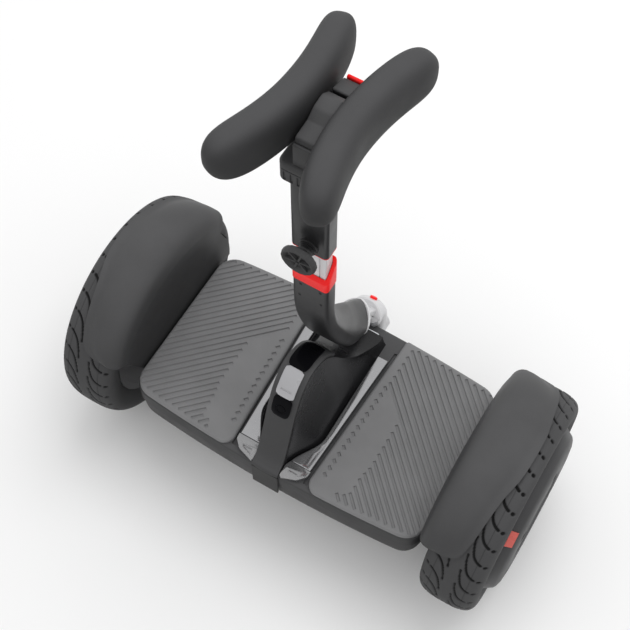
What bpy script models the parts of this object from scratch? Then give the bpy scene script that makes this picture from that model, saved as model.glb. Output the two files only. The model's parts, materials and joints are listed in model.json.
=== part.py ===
"""Self-balancing scooter: two motor wheels, a deck with foot mats and a knee-steered bar.

World frame in metres: X runs along the axle to the rider's right, Y points forward, Z is up.
The origin is on the floor, midway between the wheels and right below the axle.
"""
import math

import bmesh
import bpy
from mathutils import Matrix, Vector

# General clearances
GAP = 0.0003                    # between pieces that touch
RUNNING_GAP = 0.0004            # round pins and shafts that turn

# Wheels
TYRE_RADIUS = 0.133
TYRE_HALF_WIDTH = 0.034
TYRE_WALL = 0.0055
RIM_RADIUS = 0.0975
RIM_HALF_WIDTH = 0.028
RIM_FLANGE = 0.003
RIM_LIP = 0.003                 # how far the rim's flanges stand over its bed
DRUM_WALL = 0.006
DRUM_FACE = 0.004
HUB_COVER_BULGE = 0.0180
HUB_COVER_WALL = 0.0025
# Two places on the cover's outer slope, as depth below the crown and radius
COVER_SLOPE = ((0.0050, RIM_RADIUS - 0.0045), (0.0135, RIM_RADIUS + 0.0010))
MOTOR_PLATE_THICKNESS = 0.003
STATOR_RADIUS = RIM_RADIUS - 0.0095
STATOR_HALF_WIDTH = 0.0120
AXLE_RADIUS = 0.008
AXLE_SEAT = 0.030               # length of the axle held in the chassis
BEARING_RADIUS = 0.0155
BEARING_WIDTH = 0.008
REFLECTOR_LENGTH_DEG = 11.0
REFLECTOR_ANGLE_DEG = 133.0     # from the front, over the top
REFLECTOR_THICKNESS = 0.0011

# Deck shells
DECK_HALF_LENGTH = 0.1845
WHEEL_OFFSET = DECK_HALF_LENGTH + TYRE_HALF_WIDTH + 0.0145     # wheel centre from the scooter's middle
DECK_FRONT = 0.1055
DECK_REAR = 0.1140
DECK_BOW = 0.268                # how fast the front and rear edges draw in, per metre
DECK_CORNER = 0.024
DECK_TOP = TYRE_RADIUS + 0.0165         # the deck's heights follow the axle
DECK_SEAM = TYRE_RADIUS - 0.0043
DECK_FLOOR = TYRE_RADIUS - 0.0550
SHELL_WALL = 0.003
BELLY_INSET = 0.020

# Foot mats
MAT_THICKNESS = 0.0055
MAT_INNER_EDGE = 0.0531
MAT_SPLAY = 0.048               # the inner edges part towards the front
MAT_EDGE_INSET = 0.0012
MAT_CORNER = 0.014
MAT_EDGE_RADIUS = 0.0014

# Chassis and power
CHASSIS_HALF_DEPTH = 0.018
CHASSIS_BOTTOM = TYRE_RADIUS - 0.0320
CHASSIS_ARM_HALF_WIDTH = 0.019
CHASSIS_END_CLEARANCE = 0.0050
BATTERY_HALF_LENGTH = 0.142
BATTERY_BACK = -0.038
BATTERY_FRONT = 0.0755
BATTERY_TOP = CHASSIS_BOTTOM - 0.0007
BOARD_HALF_LENGTH = 0.100
BOARD_BACK = -0.094
BOARD_FRONT = -0.044
BOARD_THICKNESS = 0.002
HEAT_SINK_HEIGHT = 0.014

# Fenders
FENDER_RADIUS = TYRE_RADIUS + 0.0102
FENDER_OUTER_EDGE = WHEEL_OFFSET + 0.0222
# Share along the arch from its rear end, and how much of the full width is left there
FENDER_PLAN = ((0.0, 0.48), (0.04, 0.68), (0.13, 0.78), (0.31, 0.87), (0.45, 0.98), (0.62, 1.0),
               (0.72, 0.95), (0.87, 0.87), (0.96, 0.76), (1.0, 0.52))
FENDER_FRONT_BULGE = 0.0060     # of the wall's front edge, between the deck and the arch
FENDER_WALL = 0.0026
FENDER_CLEARANCE = 0.0020       # over the tyre's tread
FENDER_REAR_DEG = 31.0
FENDER_FRONT_DEG = 141.0
FENDER_FOOT_REAR = -0.076
FENDER_FOOT_FRONT = 0.1020
FENDER_FOOT_HEIGHT = DECK_TOP - 0.0070      # the wall's foot lies beside the deck, over the axle

# Console between the mats
CONSOLE_HALF_WIDTH = 0.0385
CONSOLE_TAIL_HALF_WIDTH = 0.0180
CONSOLE_WALL = 0.0025
RIDGE_HALF_WIDTH = 0.0165
RIDGE_FRONT_HALF_WIDTH = 0.034
SPINE_THICKNESS = 0.003
SPINE_CROWN = 0.0014
DASH_HALF_WIDTH = 0.0108
DASH_THICKNESS = 0.0016
DASH_JOINT = 0.08               # this joint and the next places are in samples along the crest
PLATE_START = 22.8
BUTTON_PLACE = 24.0
PANEL_START = 26.4
WINDOW_START = 32.4
WINDOW_END = 41.0
BUTTON_RADIUS = 0.0056
BUTTON_HEIGHT = 0.0030
TRIM_HEIGHT = 0.0075
TRIM_REAR_WIDTH = 0.0075
TRIM_FRONT_WIDTH = 0.0130
TAIL_LIGHT_HEIGHT = 0.0060
HEADLIGHT_HALF_WIDTH = 0.030
HEADLIGHT_THICKNESS = 0.0022

# Charge port
PORT_HALF_WIDTH = 0.0115
PORT_TOP = DECK_SEAM - 0.0047
PORT_BOTTOM = PORT_TOP - 0.0150
PORT_DEPTH = 0.016
PORT_HOLE_RADIUS = 0.0055
COVER_HALF_WIDTH = 0.0165
COVER_THICKNESS = 0.002
COVER_BOTTOM = PORT_BOTTOM - 0.0040
COVER_TOP = DECK_TOP - 0.0007

# Steering bar
STEER_HEIGHT = TYRE_RADIUS - 0.0150     # the fore-and-aft axis that the bar leans about
SHAFT_RADIUS = 0.008
SHAFT_BEARING_RADIUS = 0.0120
SHAFT_BEARING_WIDTH = 0.009
SPRING_MEAN_RADIUS = 0.0102
SPRING_WIRE_RADIUS = 0.0009
SPRING_TURNS = 5
ARM_HALF_WIDTH = 0.0205
ARM_CROWN = 0.0196              # the arm's top over the neck's axis
ARM_CORNER = 0.0090
ARM_BACK = DECK_FRONT + 0.0030
ARM_FRONT = ARM_BACK + 0.0235
ARM_KNEE = 0.0410               # over the steering axis, where the arm bends towards the neck
ARM_FOOT = 0.0160               # over the same axis, where its straight foot begins
ARM_FLANGE = 0.0070             # the plate that the neck stands on
ARM_WAIST_END = 0.0450
ARM_WAIST_HALF_WIDTH = 0.0125
ARM_SPIGOT_HALF_WIDTH = 0.0120
ARM_SPIGOT_CROWN = 0.0080
STEM_Y = -0.008
STEM_HALF_WIDTH = 0.0195
STEM_HALF_DEPTH = 0.0095
STEM_CORNER = 0.0042
STEM_WALL = 0.0026
NECK_TOP = STEER_HEIGHT + 0.2992
NECK_END = (ARM_BACK - 0.0340, STEER_HEIGHT + 0.0860)   # centre of the neck's lower end in the side view
NECK_SLOPE_DEG = 54.0
NECK_END_HALF_WIDTH = 0.0215
NECK_CROWN = 0.0225             # the end's reach above and below that centre
NECK_BELLY = 0.0160
NECK_BELLY_CORNER = 0.0090
NECK_WIDEST = -0.48             # where the domed section is widest, as a share of its half height
NECK_ARCH = 1.33                # how pointed the dome is; 1 is an ellipse
COLLAR_REAR_TOP = NECK_TOP + 0.0163
COLLAR_FRONT_TOP = NECK_TOP + 0.0398
COLLAR_GROWTH = 0.0006
TUBE_HALF_WIDTH = 0.0162
TUBE_HALF_DEPTH = 0.0065
TUBE_WALL = 0.0018
TUBE_BOTTOM = NECK_TOP - 0.0312
TUBE_TOP = NECK_TOP + 0.1568
UPPER_TUBE_BOTTOM = NECK_TOP + 0.0613
UPPER_TUBE_TOP = UPPER_TUBE_BOTTOM + 0.1215
RIM_LINE_HEIGHT = 0.0012
RELEASE_RADIUS = 0.0045
RELEASE_PROUD = 0.0025
RELEASE_DEPTH = 0.0080
RELEASE_PLACE = 0.0600          # along the arm from the neck's end

# Clamp knob
KNOB_HEIGHT = UPPER_TUBE_BOTTOM + 0.0110
KNOB_BOSS_LENGTH = 0.0070
KNOB_BOSS_RADIUS = 0.0093
KNOB_RADIUS = 0.0180
KNOB_LOBES = 12
KNOB_LOBE_DEPTH = 0.05
KNOB_THICKNESS = 0.0075
KNOB_NECK_LENGTH = 0.0060
KNOB_NECK_RADIUS = 0.0080
STUD_RADIUS = 0.0035

# Head and knee pads
SHOULDER_BOTTOM = UPPER_TUBE_TOP - 0.0120
SHOULDER_TOP = UPPER_TUBE_TOP + 0.0205
SHOULDER_HALF_WIDTH = 0.0240
SHOULDER_WALL = 0.0040
CORE_HALF_WIDTH = 0.0096
CORE_BACK = -0.0260
CORE_FRONT = 0.0560
CORE_TOP = SHOULDER_TOP + 0.0215
BRIDGE_RISE = 0.0240             # the arched grip's top over the core
PLATE_RISE = 0.0140
HEAD_PITCH = 0.18               # how fast the head drops towards the front
PAD_HEIGHT = CORE_TOP + 0.0110
PAD_MIDDLE = 0.0120
PAD_HALF_LENGTH = 0.1020
PAD_OFFSET = 0.0268
PAD_HALF_THICKNESS = 0.0168
PAD_HALF_HEIGHT = 0.0275
PAD_FRONT_FLARE = 0.0170
PAD_REAR_FLARE = 0.0225
TAB_HALF_WIDTH = 0.0078
TAB_THICKNESS = 0.0038
TAB_BOTTOM = CORE_TOP - 0.0060
TAB_TOP = CORE_TOP + 0.0125

# Parking stand
STAND_PIVOT_Y = 0.071
STAND_PIVOT_Z = DECK_FLOOR - 0.0125
STAND_PIN_RADIUS = 0.003
STAND_EYE_RADIUS = 0.0065
STAND_LEG_HALF_WIDTH = 0.0095
STAND_FOOT_Y = 0.091
STAND_FOOT_HALF_WIDTH = 0.017
STAND_FOOT_HALF_DEPTH = 0.0105
STAND_FOOT_HEIGHT = 0.010
STAND_LUG = 0.004

# How finely round shapes are cut
WHEEL_SEGMENTS = 32
ROD_SEGMENTS = 16


def material(name, colour, roughness, metallic=0.0):
    finish = bpy.data.materials.new(name)
    finish.use_nodes = True
    shader = finish.node_tree.nodes["Principled BSDF"]
    shader.inputs["Base Color"].default_value = (*colour, 1.0)
    shader.inputs["Roughness"].default_value = roughness
    shader.inputs["Metallic"].default_value = metallic
    return finish


def solid(name, mesh_in_progress, finish, sharp_deg=35.0):
    """Turns a finished bmesh into a named object with smooth round parts."""
    bmesh.ops.recalc_face_normals(mesh_in_progress, faces=mesh_in_progress.faces)
    mesh = bpy.data.meshes.new(name)
    mesh_in_progress.to_mesh(mesh)
    mesh_in_progress.free()
    mesh.shade_smooth()
    mesh.set_sharp_from_angle(angle=math.radians(sharp_deg))
    mesh.materials.append(finish)
    piece = bpy.data.objects.new(name, mesh)
    bpy.context.scene.collection.objects.link(piece)
    return piece


def skin(rings, loop=False):
    """Faces through rings of points, capped at both ends unless the rings close into a loop.

    A ring of one point is a tip, as on the axis of a turned shape.
    """
    work = bmesh.new()
    rows = [[work.verts.new(point) for point in ring] for ring in rings]
    pairs = list(zip(rows, rows[1:]))
    if loop:
        pairs.append((rows[-1], rows[0]))
    for low, high in pairs:
        count = max(len(low), len(high))
        for i in range(count):
            j = (i + 1) % count
            corners = (low[i % len(low)], low[j % len(low)], high[j % len(high)], high[i % len(high)])
            distinct = list(dict.fromkeys(corners))
            if len(distinct) > 2:
                work.faces.new(distinct)
    if not loop:
        for row in (rows[0], rows[-1]):
            if len(row) > 2:
                work.faces.new(row)
    return work


def turned(axis, centre, profile, segments, loop=False, lobes=0, lobe_depth=0.0):
    """A body turned about an axis; the profile holds (distance along the axis, radius)."""
    along = "XYZ".index(axis)
    first, second = [i for i in range(3) if i != along]
    rings = []
    for distance, radius in profile:
        ring = []
        for k in range(segments if radius > 0 else 1):
            turn = 2 * math.pi * k / segments
            reach = radius * (1 - lobe_depth / 2 + lobe_depth / 2 * math.cos(lobes * turn))
            point = list(centre)
            point[along] += distance
            point[first] += reach * math.cos(turn)
            point[second] += reach * math.sin(turn)
            ring.append(point)
        rings.append(ring)
    return skin(rings, loop)


def filleted(corners, steps=3):
    """A closed outline from (x, y, radius) corners, with each corner rounded by an arc."""
    outline = []
    for i, (x, y, radius) in enumerate(corners):
        corner = Vector((x, y))
        before = (Vector(corners[i - 1][:2]) - corner).normalized()
        after = (Vector(corners[(i + 1) % len(corners)][:2]) - corner).normalized()
        spread = before.angle(after)
        if radius <= 0 or spread > math.pi - 0.02:
            outline.append((x, y))
            continue
        reach = radius / math.tan(spread / 2)
        centre = corner + (before + after).normalized() * radius / math.sin(spread / 2)
        start = corner + before * reach - centre
        end = corner + after * reach - centre
        swing = math.pi - spread
        for k in range(steps + 1):
            share = k / steps
            offset = start * math.sin((1 - share) * swing) + end * math.sin(share * swing)
            outline.append(tuple(centre + offset / math.sin(swing)))
    return outline


def rounded_rectangle(half_u, half_v, radius, steps=3):
    return filleted([(half_u, half_v, radius), (-half_u, half_v, radius),
                     (-half_u, -half_v, radius), (half_u, -half_v, radius)], steps)


def flat_ring(outline, z):
    return [(x, y, z) for x, y in outline]


def side_ring(outline, x):
    return [(x, y, z) for y, z in outline]


def front_ring(outline, y):
    return [(x, y, z) for x, z in outline]


def drawn_in(outline, depth):
    """The same outline moved inwards by a depth, with as many points."""
    area = sum(outline[i - 1][0] * outline[i][1] - outline[i][0] * outline[i - 1][1]
               for i in range(len(outline)))
    inward = 1 if area > 0 else -1
    result = []
    for i, point in enumerate(outline):
        here = Vector(point)
        before = (here - Vector(outline[i - 1])).normalized()
        after = (Vector(outline[(i + 1) % len(outline)]) - here).normalized()
        bisector = Vector((-before[1] - after[1], before[0] + after[0])).normalized()
        stretch = max(bisector.dot(Vector((-before[1], before[0]))), 0.4)
        result.append(tuple(here + bisector * inward * depth / stretch))
    return result


def bevelled(place, outline, low, high, bevel, both_ends=True):
    """Rings of a straight body with its end edges bevelled; place turns (outline, level) into a ring."""
    edge = drawn_in(outline, bevel)
    rings = [place(edge, low), place(outline, low + bevel)] if both_ends else [place(outline, low)]
    return rings + [place(outline, high - bevel), place(edge, high)]


def prism(name, rings, finish):
    """A straight or tapering body between outline rings."""
    return solid(name, skin(rings), finish)


def block(name, low, high, finish, bevel=0.0):
    work = bmesh.new()
    bmesh.ops.create_cube(work, size=1.0)
    for vertex in work.verts:
        for i in range(3):
            vertex.co[i] = low[i] if vertex.co[i] < 0 else high[i]
    if bevel > 0:
        bmesh.ops.bevel(work, geom=list(work.edges), offset=bevel, segments=1, affect="EDGES")
    return solid(name, work, finish)


def boolean(piece, tool, operation):
    """Cuts or joins with a hidden helper shape."""
    tool.hide_render = True
    tool.hide_viewport = False
    tool.display_type = "WIRE"
    step = piece.modifiers.new(operation.lower(), "BOOLEAN")
    step.operation = operation
    step.solver = "EXACT"
    step.object = tool


def cut(piece, tool):
    boolean(piece, tool, "DIFFERENCE")


def join(piece, tool):
    boolean(piece, tool, "UNION")


def rod(name, axis, centre, low, high, radius, finish, segments=ROD_SEGMENTS):
    """A plain round bar between two coordinates on one axis."""
    profile = [(low, 0), (low, radius), (high, radius), (high, 0)]
    return solid(name, turned(axis, centre, profile, segments), finish)


def joint_axis(name, place):
    """An empty on a joint's axis, which carries the pieces that move about it."""
    empty = bpy.data.objects.new(name, None)
    empty.empty_display_size = 0.02
    empty.location = place
    bpy.context.scene.collection.objects.link(empty)
    return empty


def carry(empty, *pieces):
    for piece in pieces:
        piece.parent = empty
        piece.matrix_parent_inverse = Matrix.Translation(empty.location).inverted()


def smooth_path(points, samples):
    """Points along a Catmull-Rom curve through the given (y, z) points."""
    ends = [points[0]] + list(points) + [points[-1]]
    path = []
    for i in range(len(points) - 1):
        p0, p1, p2, p3 = (Vector(ends[i + k]) for k in range(4))
        for k in range(samples):
            t = k / samples
            path.append(0.5 * (2 * p1 + (p2 - p0) * t + (2 * p0 - 5 * p1 + 4 * p2 - p3) * t ** 2
                               + (3 * p1 - p0 - 3 * p2 + p3) * t ** 3))
    path.append(Vector(points[-1]))
    return path


def deck_edge(x, reach):
    """How far the deck's front or rear edge stands out at a place along the scooter."""
    return reach - DECK_BOW * x * x


def deck_outline(inset):
    """The deck's barrel-shaped plan, drawn in by an inset."""
    half = DECK_HALF_LENGTH - inset
    radius = DECK_CORNER - inset / 2
    stops = [half * share for share in (0.72, 0.40, 0.0, -0.40, -0.72)]
    corners = [(half, deck_edge(half, DECK_FRONT) - inset, radius)]
    corners += [(x, deck_edge(x, DECK_FRONT) - inset, 0) for x in stops]
    corners += [(-half, deck_edge(half, DECK_FRONT) - inset, radius)]
    corners += [(-half, inset - deck_edge(half, DECK_REAR), radius)]
    corners += [(x, inset - deck_edge(x, DECK_REAR), 0) for x in reversed(stops)]
    corners += [(half, inset - deck_edge(half, DECK_REAR), radius)]
    return filleted(corners)


# Side view of the console's crest as (y, height over the deck), from the rear edge over the top forwards
CREST = ((-0.1158, 0.0011), (-0.1146, 0.0051), (-0.1100, 0.0090), (-0.1035, 0.0160), (-0.0960, 0.0305),
         (-0.0870, 0.0565), (-0.0745, 0.0925), (-0.0620, 0.1165), (-0.0450, 0.1300), (-0.0260, 0.1290),
         (-0.0080, 0.1165), (0.0080, 0.0935), (0.0220, 0.0685), (0.0360, 0.0475), (0.0520, 0.0320),
         (0.0700, 0.0225), (0.0890, 0.0185))
CREST_SAMPLES = 4
SPINE_END = 11                  # the crest point where the spine cover stops
CONSOLE_START = 10              # the sample along the crest where the console shell starts
FLANK_STEPS = 6

crest_path = smooth_path([(y, DECK_TOP + rise) for y, rise in CREST], CREST_SAMPLES)


def crest_frame(place):
    """A point along the crest, in samples, with the outward normal there; both are (y, z)."""
    index = min(int(place), len(crest_path) - 2)
    point = crest_path[index].lerp(crest_path[index + 1], place - index)
    before = crest_path[max(math.ceil(place) - 1, 0)]
    after = crest_path[min(int(place) + 1, len(crest_path) - 1)]
    along = (after - before).normalized()
    return point, Vector((-along[1], along[0]))


def crest_strip(name, first, last, half_width, base, thickness, crown, finish, step=1):
    """A strip bent along the crest; base is its underside's height over the crest line."""
    rings = []
    for place in [first] + list(range(int(first) + step, math.ceil(last), step)) + [last]:
        point, normal = crest_frame(place)
        section = [(-half_width, base), (-half_width, base + thickness),
                   (-half_width * 0.55, base + thickness + crown * 0.7), (0, base + thickness + crown),
                   (half_width * 0.55, base + thickness + crown * 0.7), (half_width, base + thickness),
                   (half_width, base), (0, base + crown)]
        rings.append([(x, point[0] + normal[0] * rise, point[1] + normal[1] * rise) for x, rise in section])
    return solid(name, skin(rings), finish)


def console_half_width(y):
    """The console's foot: full width at the feet, drawn in behind towards the rear band."""
    share = min(max((y + 0.100) / 0.050, 0.0), 1.0)
    blend = share * share * (3 - 2 * share)
    return CONSOLE_TAIL_HALF_WIDTH + (CONSOLE_HALF_WIDTH - CONSOLE_TAIL_HALF_WIDTH) * blend


def ridge_half_width(y):
    """The console's top: narrow over the crest, spread in front under the bar."""
    share = min(max((y + 0.005) / 0.085, 0.0), 1.0)
    return RIDGE_HALF_WIDTH + (RIDGE_FRONT_HALF_WIDTH - RIDGE_HALF_WIDTH) * share ** 1.5


def console_line(index):
    """The shell's crest point under the spine cover, in the (y, z) side view."""
    point, normal = crest_frame(index)
    return point - normal * (SPINE_THICKNESS + GAP)


def console_arch(index, shrink, foot_height):
    """A closed section across the console: flat ridge, then hollow flanks down to the deck."""
    y, top = console_line(index)
    top -= shrink
    ridge = ridge_half_width(y) - shrink
    foot = max(console_half_width(y) - shrink, ridge + 0.0004)
    half = [(ridge * 0.6, top)]
    for k in range(FLANK_STEPS):
        share = k / (FLANK_STEPS - 1)
        drop = top - 0.0008 - foot_height
        half.append((ridge + (foot - ridge) * share ** 2.2, foot_height + drop * (1 - share)))
    return [(-x, y, z) for x, z in reversed(half)] + [(0.0, y, top + 0.0006)] + [(x, y, z) for x, z in half]


def console_shell(finish):
    """The hump between the mats, open below and cut hollow."""
    base = DECK_TOP + GAP
    last = len(crest_path) - 1
    rows = list(range(CONSOLE_START, last, 4)) + [last]
    shell = solid("console_shell", skin([console_arch(i, 0.0, base) for i in rows]), finish)
    rows = [i for i in rows if CONSOLE_START + 3 < i < last]
    inner = [console_arch(i, CONSOLE_WALL, base - 0.004) for i in rows]
    front_wall = console_line(last)[0] - CONSOLE_WALL
    inner.append([(x, front_wall, z) for x, _, z in console_arch(last, CONSOLE_WALL, base - 0.004)])
    cut(shell, solid("console_hollow", skin(inner), finish))
    return shell


def tyre(name, side, finish):
    """A tyre with a hollow air space that opens towards the rim."""
    half = TYRE_HALF_WIDTH
    bead = RIM_HALF_WIDTH - RIM_FLANGE - GAP
    seat = RIM_RADIUS + GAP
    top = TYRE_RADIUS
    outer = [(bead, seat), (bead, seat + RIM_LIP), (half, top - 0.0180), (half * 0.88, top - 0.0060),
             (half * 0.38, top)]
    inner = [(bead - TYRE_WALL, seat), (half - TYRE_WALL, top - 0.0160),
             (half * 0.50, top - TYRE_WALL - 0.0015)]
    profile = outer + [(-x, r) for x, r in reversed(outer)] + [(-x, r) for x, r in inner]
    profile += list(reversed(inner))
    centre = (side * WHEEL_OFFSET, 0, TYRE_RADIUS)
    return solid(name, turned("X", centre, profile, WHEEL_SEGMENTS, loop=True), finish, 50)


def wheel(name, side, paint):
    """Tyre, motor drum, inner plate with its bearing, outer cover and reflector, all turning."""
    axis = (0, 0, TYRE_RADIUS)
    rim_in = WHEEL_OFFSET - RIM_HALF_WIDTH
    rim_out = WHEEL_OFFSET + RIM_HALF_WIDTH
    lip = RIM_RADIUS + RIM_LIP
    bore = AXLE_RADIUS + RUNNING_GAP
    face = rim_out - 0.001
    drum_inner = RIM_RADIUS - DRUM_WALL
    boss_end = WHEEL_OFFSET + STATOR_HALF_WIDTH - 0.0010
    boss_radius = bore + 0.0055
    drum = [(face, 0), (face, drum_inner - 0.004), (rim_out, drum_inner), (rim_out, lip),
            (rim_out - RIM_FLANGE, lip), (rim_out - RIM_FLANGE, RIM_RADIUS),
            (rim_in + RIM_FLANGE, RIM_RADIUS), (rim_in + RIM_FLANGE, lip), (rim_in, lip),
            (rim_in, drum_inner), (face - DRUM_FACE, drum_inner), (face - DRUM_FACE, boss_radius),
            (boss_end, boss_radius), (boss_end, bore), (face - DRUM_FACE - 0.001, bore),
            (face - DRUM_FACE - 0.001, 0)]
    plate_in = rim_in + 0.0003
    seat = BEARING_RADIUS + GAP
    plate = [(plate_in, drum_inner - GAP), (plate_in + MOTOR_PLATE_THICKNESS, drum_inner - GAP),
             (plate_in + MOTOR_PLATE_THICKNESS, seat + 0.004), (plate_in + BEARING_WIDTH, seat + 0.004),
             (plate_in + BEARING_WIDTH, seat), (plate_in, seat)]
    bearing = [(plate_in, bore), (plate_in, BEARING_RADIUS), (plate_in + BEARING_WIDTH, BEARING_RADIUS),
               (plate_in + BEARING_WIDTH, bore)]
    back = rim_out + GAP
    crown = rim_out + HUB_COVER_BULGE
    wall = HUB_COVER_WALL
    slope_top, slope_foot = COVER_SLOPE
    cover = [(crown - 0.0045 - wall, 0), (crown - 0.0035 - wall, 0.029), (crown - wall, 0.058),
             (crown - 0.0058, RIM_RADIUS - 0.0095), (back, RIM_RADIUS - 0.0045), (back, lip),
             (rim_out + 0.0022, lip + 0.0008), (crown - slope_foot[0], slope_foot[1]),
             (crown - slope_top[0], slope_top[1]), (crown - 0.0012, RIM_RADIUS - 0.0135), (crown, 0.060),
             (crown - 0.0002, 0.044), (crown - 0.0035, 0.030), (crown - 0.0045, 0)]
    parts = [tyre(name + "_tyre", side, paint["tyre"])]
    turned_parts = (("_motor_drum", drum, False, WHEEL_SEGMENTS, "drum"),
                    ("_motor_plate", plate, True, WHEEL_SEGMENTS, "drum"),
                    ("_hub_bearing", bearing, True, 20, "steel"),
                    ("_hub_cover", cover, False, WHEEL_SEGMENTS, "cover"))
    for suffix, profile, loop, segments, look in turned_parts:
        mirrored = [(side * x, r) for x, r in profile]
        parts.append(solid(name + suffix, turned("X", axis, mirrored, segments, loop), paint[look]))
    parts.append(reflector(name + "_reflector", side, crown, paint["reflector"]))
    pivot = joint_axis(name + "_axis", (side * WHEEL_OFFSET, 0, TYRE_RADIUS))
    carry(pivot, *parts)
    return parts


def reflector(name, side, crown, finish):
    """A thin red tile bent round the outer slope of the hub cover."""
    (drop, start), (next_drop, end) = COVER_SLOPE
    low, high = Vector((crown - drop, start)), Vector((crown - next_drop, end))
    down = (high - low).normalized()
    outward = Vector((down[1], -down[0]))
    low += down * 0.0005
    high -= down * 0.0005
    section = [place + outward * rise for rise, places in ((GAP, (low, high)),
                                                           (GAP + REFLECTOR_THICKNESS, (high, low)))
               for place in places]
    rings = []
    for k in range(4):
        turn = math.radians(REFLECTOR_ANGLE_DEG + REFLECTOR_LENGTH_DEG * (k / 3 - 0.5))
        rings.append([(side * x, r * math.cos(turn), TYRE_RADIUS + r * math.sin(turn)) for x, r in section])
    return solid(name, skin(rings), finish)


def motor_core(name, side, paint):
    """The axle that the chassis holds, and the stator fixed on it inside the drum."""
    centre = (0, 0, TYRE_RADIUS)
    inner = DECK_HALF_LENGTH - SHELL_WALL - AXLE_SEAT
    outer = WHEEL_OFFSET + RIM_HALF_WIDTH - 0.001 - DRUM_FACE - 0.001 - 2 * RUNNING_GAP
    axle = rod(name + "_axle", "X", centre, side * inner, side * outer, AXLE_RADIUS, paint["steel"], 20)
    half = STATOR_HALF_WIDTH
    middle = WHEEL_OFFSET - 0.003
    bore = AXLE_RADIUS + GAP
    profile = [(0.0070, bore), (0.0070, 0.0170), (0.0020, 0.0190), (0.0020, 0.0620),
               (half, 0.0660), (half, STATOR_RADIUS)]
    profile += [(-x, r) for x, r in reversed(profile)]
    shifted = [(side * (middle + x), r) for x, r in profile]
    stator = solid(name + "_stator", turned("X", centre, shifted, 20, loop=True), paint["copper"])
    return [axle, stator]


def between(table, value):
    """The second column of a table at a value of its first one, along straight lines."""
    for (low, first), (high, second) in zip(table, table[1:]):
        if value <= high:
            return first + (second - first) * (value - low) / (high - low)
    return table[-1][1]


def fender(name, side, finish):
    """An arched shell over the tyre, with a wall down to the deck on its inner side."""
    wall_x = DECK_HALF_LENGTH + GAP
    crown = [(0.0010, 0.0220), (0.0060, 0.0098), (0.0150, 0.0030), (0.0280, 0.0), (0.0410, 0.0003),
             (0.0530, 0.0024), (0.0630, 0.0058), (FENDER_OUTER_EDGE - wall_x, 0.0115)]
    stations = 13
    rings = []
    for k in range(stations):
        share = k / (stations - 1)
        angle = math.radians(FENDER_REAR_DEG + (FENDER_FRONT_DEG - FENDER_REAR_DEG) * share)
        foot_y = FENDER_FOOT_REAR + (FENDER_FOOT_FRONT - FENDER_FOOT_REAR) * share
        narrow = between(FENDER_PLAN, share)
        dip = 0.0050 * abs(2 * share - 1) ** 8
        bulge = FENDER_FRONT_BULGE * max(2 * share - 1, 0) ** 6
        outer, inner = [], []
        for points, depth in ((outer, 0.0), (inner, FENDER_WALL)):
            points.append((wall_x + depth, foot_y, FENDER_FOOT_HEIGHT))
            for j, (x, down) in enumerate(crown):
                reach = FENDER_RADIUS - down - depth - dip
                if x * narrow > WHEEL_OFFSET - TYRE_HALF_WIDTH - wall_x - 0.004:
                    reach = max(reach, TYRE_RADIUS + FENDER_CLEARANCE + FENDER_WALL - depth)
                run = max(wall_x + x * narrow, wall_x + depth) if j else wall_x + x * narrow + depth
                if depth and j == len(crown) - 1:
                    run -= depth * 0.2
                y = -reach * math.cos(angle)
                z = TYRE_RADIUS + reach * math.sin(angle)
                points.append((run, y, z))
        for points in (outer, inner):
            middle = [(points[0][i] + points[1][i]) / 2 for i in range(3)]
            points.insert(1, (middle[0], middle[1] + bulge, middle[2]))
        ring = outer + list(reversed(inner))
        rings.append([(side * x, y, z) for x, y, z in ring])
    return solid(name, skin(rings), finish, 40)


def mat_inner_edge(y):
    return MAT_INNER_EDGE + MAT_SPLAY * y


def foot_mat(name, side, finish):
    front = DECK_FRONT - MAT_EDGE_INSET
    rear = DECK_REAR - MAT_EDGE_INSET
    outer = DECK_HALF_LENGTH - MAT_EDGE_INSET
    front_y = deck_edge(0.05, front)
    rear_y = -deck_edge(0.05, rear)
    corners = [(mat_inner_edge(rear_y), rear_y, MAT_CORNER)]
    corners += [(x, -deck_edge(x, rear), 0) for x in (0.090, 0.120, 0.150)]
    corners += [(outer, -deck_edge(outer, rear), DECK_CORNER)]
    corners += [(outer, deck_edge(outer, front), DECK_CORNER)]
    corners += [(x, deck_edge(x, front), 0) for x in (0.150, 0.120, 0.090)]
    corners += [(mat_inner_edge(front_y), front_y, 0.004)]
    outline = [(side * x, y) for x, y in filleted(corners, 4)]
    base = DECK_TOP + GAP
    rings = [flat_ring(outline, base), flat_ring(outline, base + MAT_THICKNESS)]
    work = skin(rings)
    middle = base + MAT_THICKNESS / 2
    top = [edge for edge in work.edges if all(vertex.co.z > middle for vertex in edge.verts)]
    bmesh.ops.bevel(work, geom=top, offset=MAT_EDGE_RADIUS, segments=2, affect="EDGES")
    return solid(name, work, finish)


def console_trim(name, side, finish):
    """The bright strip on the deck beside the console."""
    gap_to_mat = 0.0030
    stops = (-0.090, -0.055, -0.015, 0.030, 0.076)
    width = TRIM_FRONT_WIDTH - TRIM_REAR_WIDTH
    outer = [(mat_inner_edge(y) - gap_to_mat, y) for y in stops]
    inner = []
    for y in reversed(stops):
        share = (y - stops[0]) / (stops[-1] - stops[0])
        inner.append((max(mat_inner_edge(y) - gap_to_mat - TRIM_REAR_WIDTH - width * share,
                          console_half_width(y) + 2 * GAP), y))
    outline = [(side * x, y) for x, y in outer + inner]
    base = DECK_TOP + GAP
    return prism(name, bevelled(flat_ring, outline, base, base + TRIM_HEIGHT, 0.0008, False), finish)


def stem_section(z, growth=0.0, half_width=STEM_HALF_WIDTH, half_depth=STEM_HALF_DEPTH, radius=STEM_CORNER):
    outline = rounded_rectangle(half_width + growth, half_depth + growth, radius + growth)
    return [(x, STEM_Y + y, z) for x, y in outline]


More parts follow.
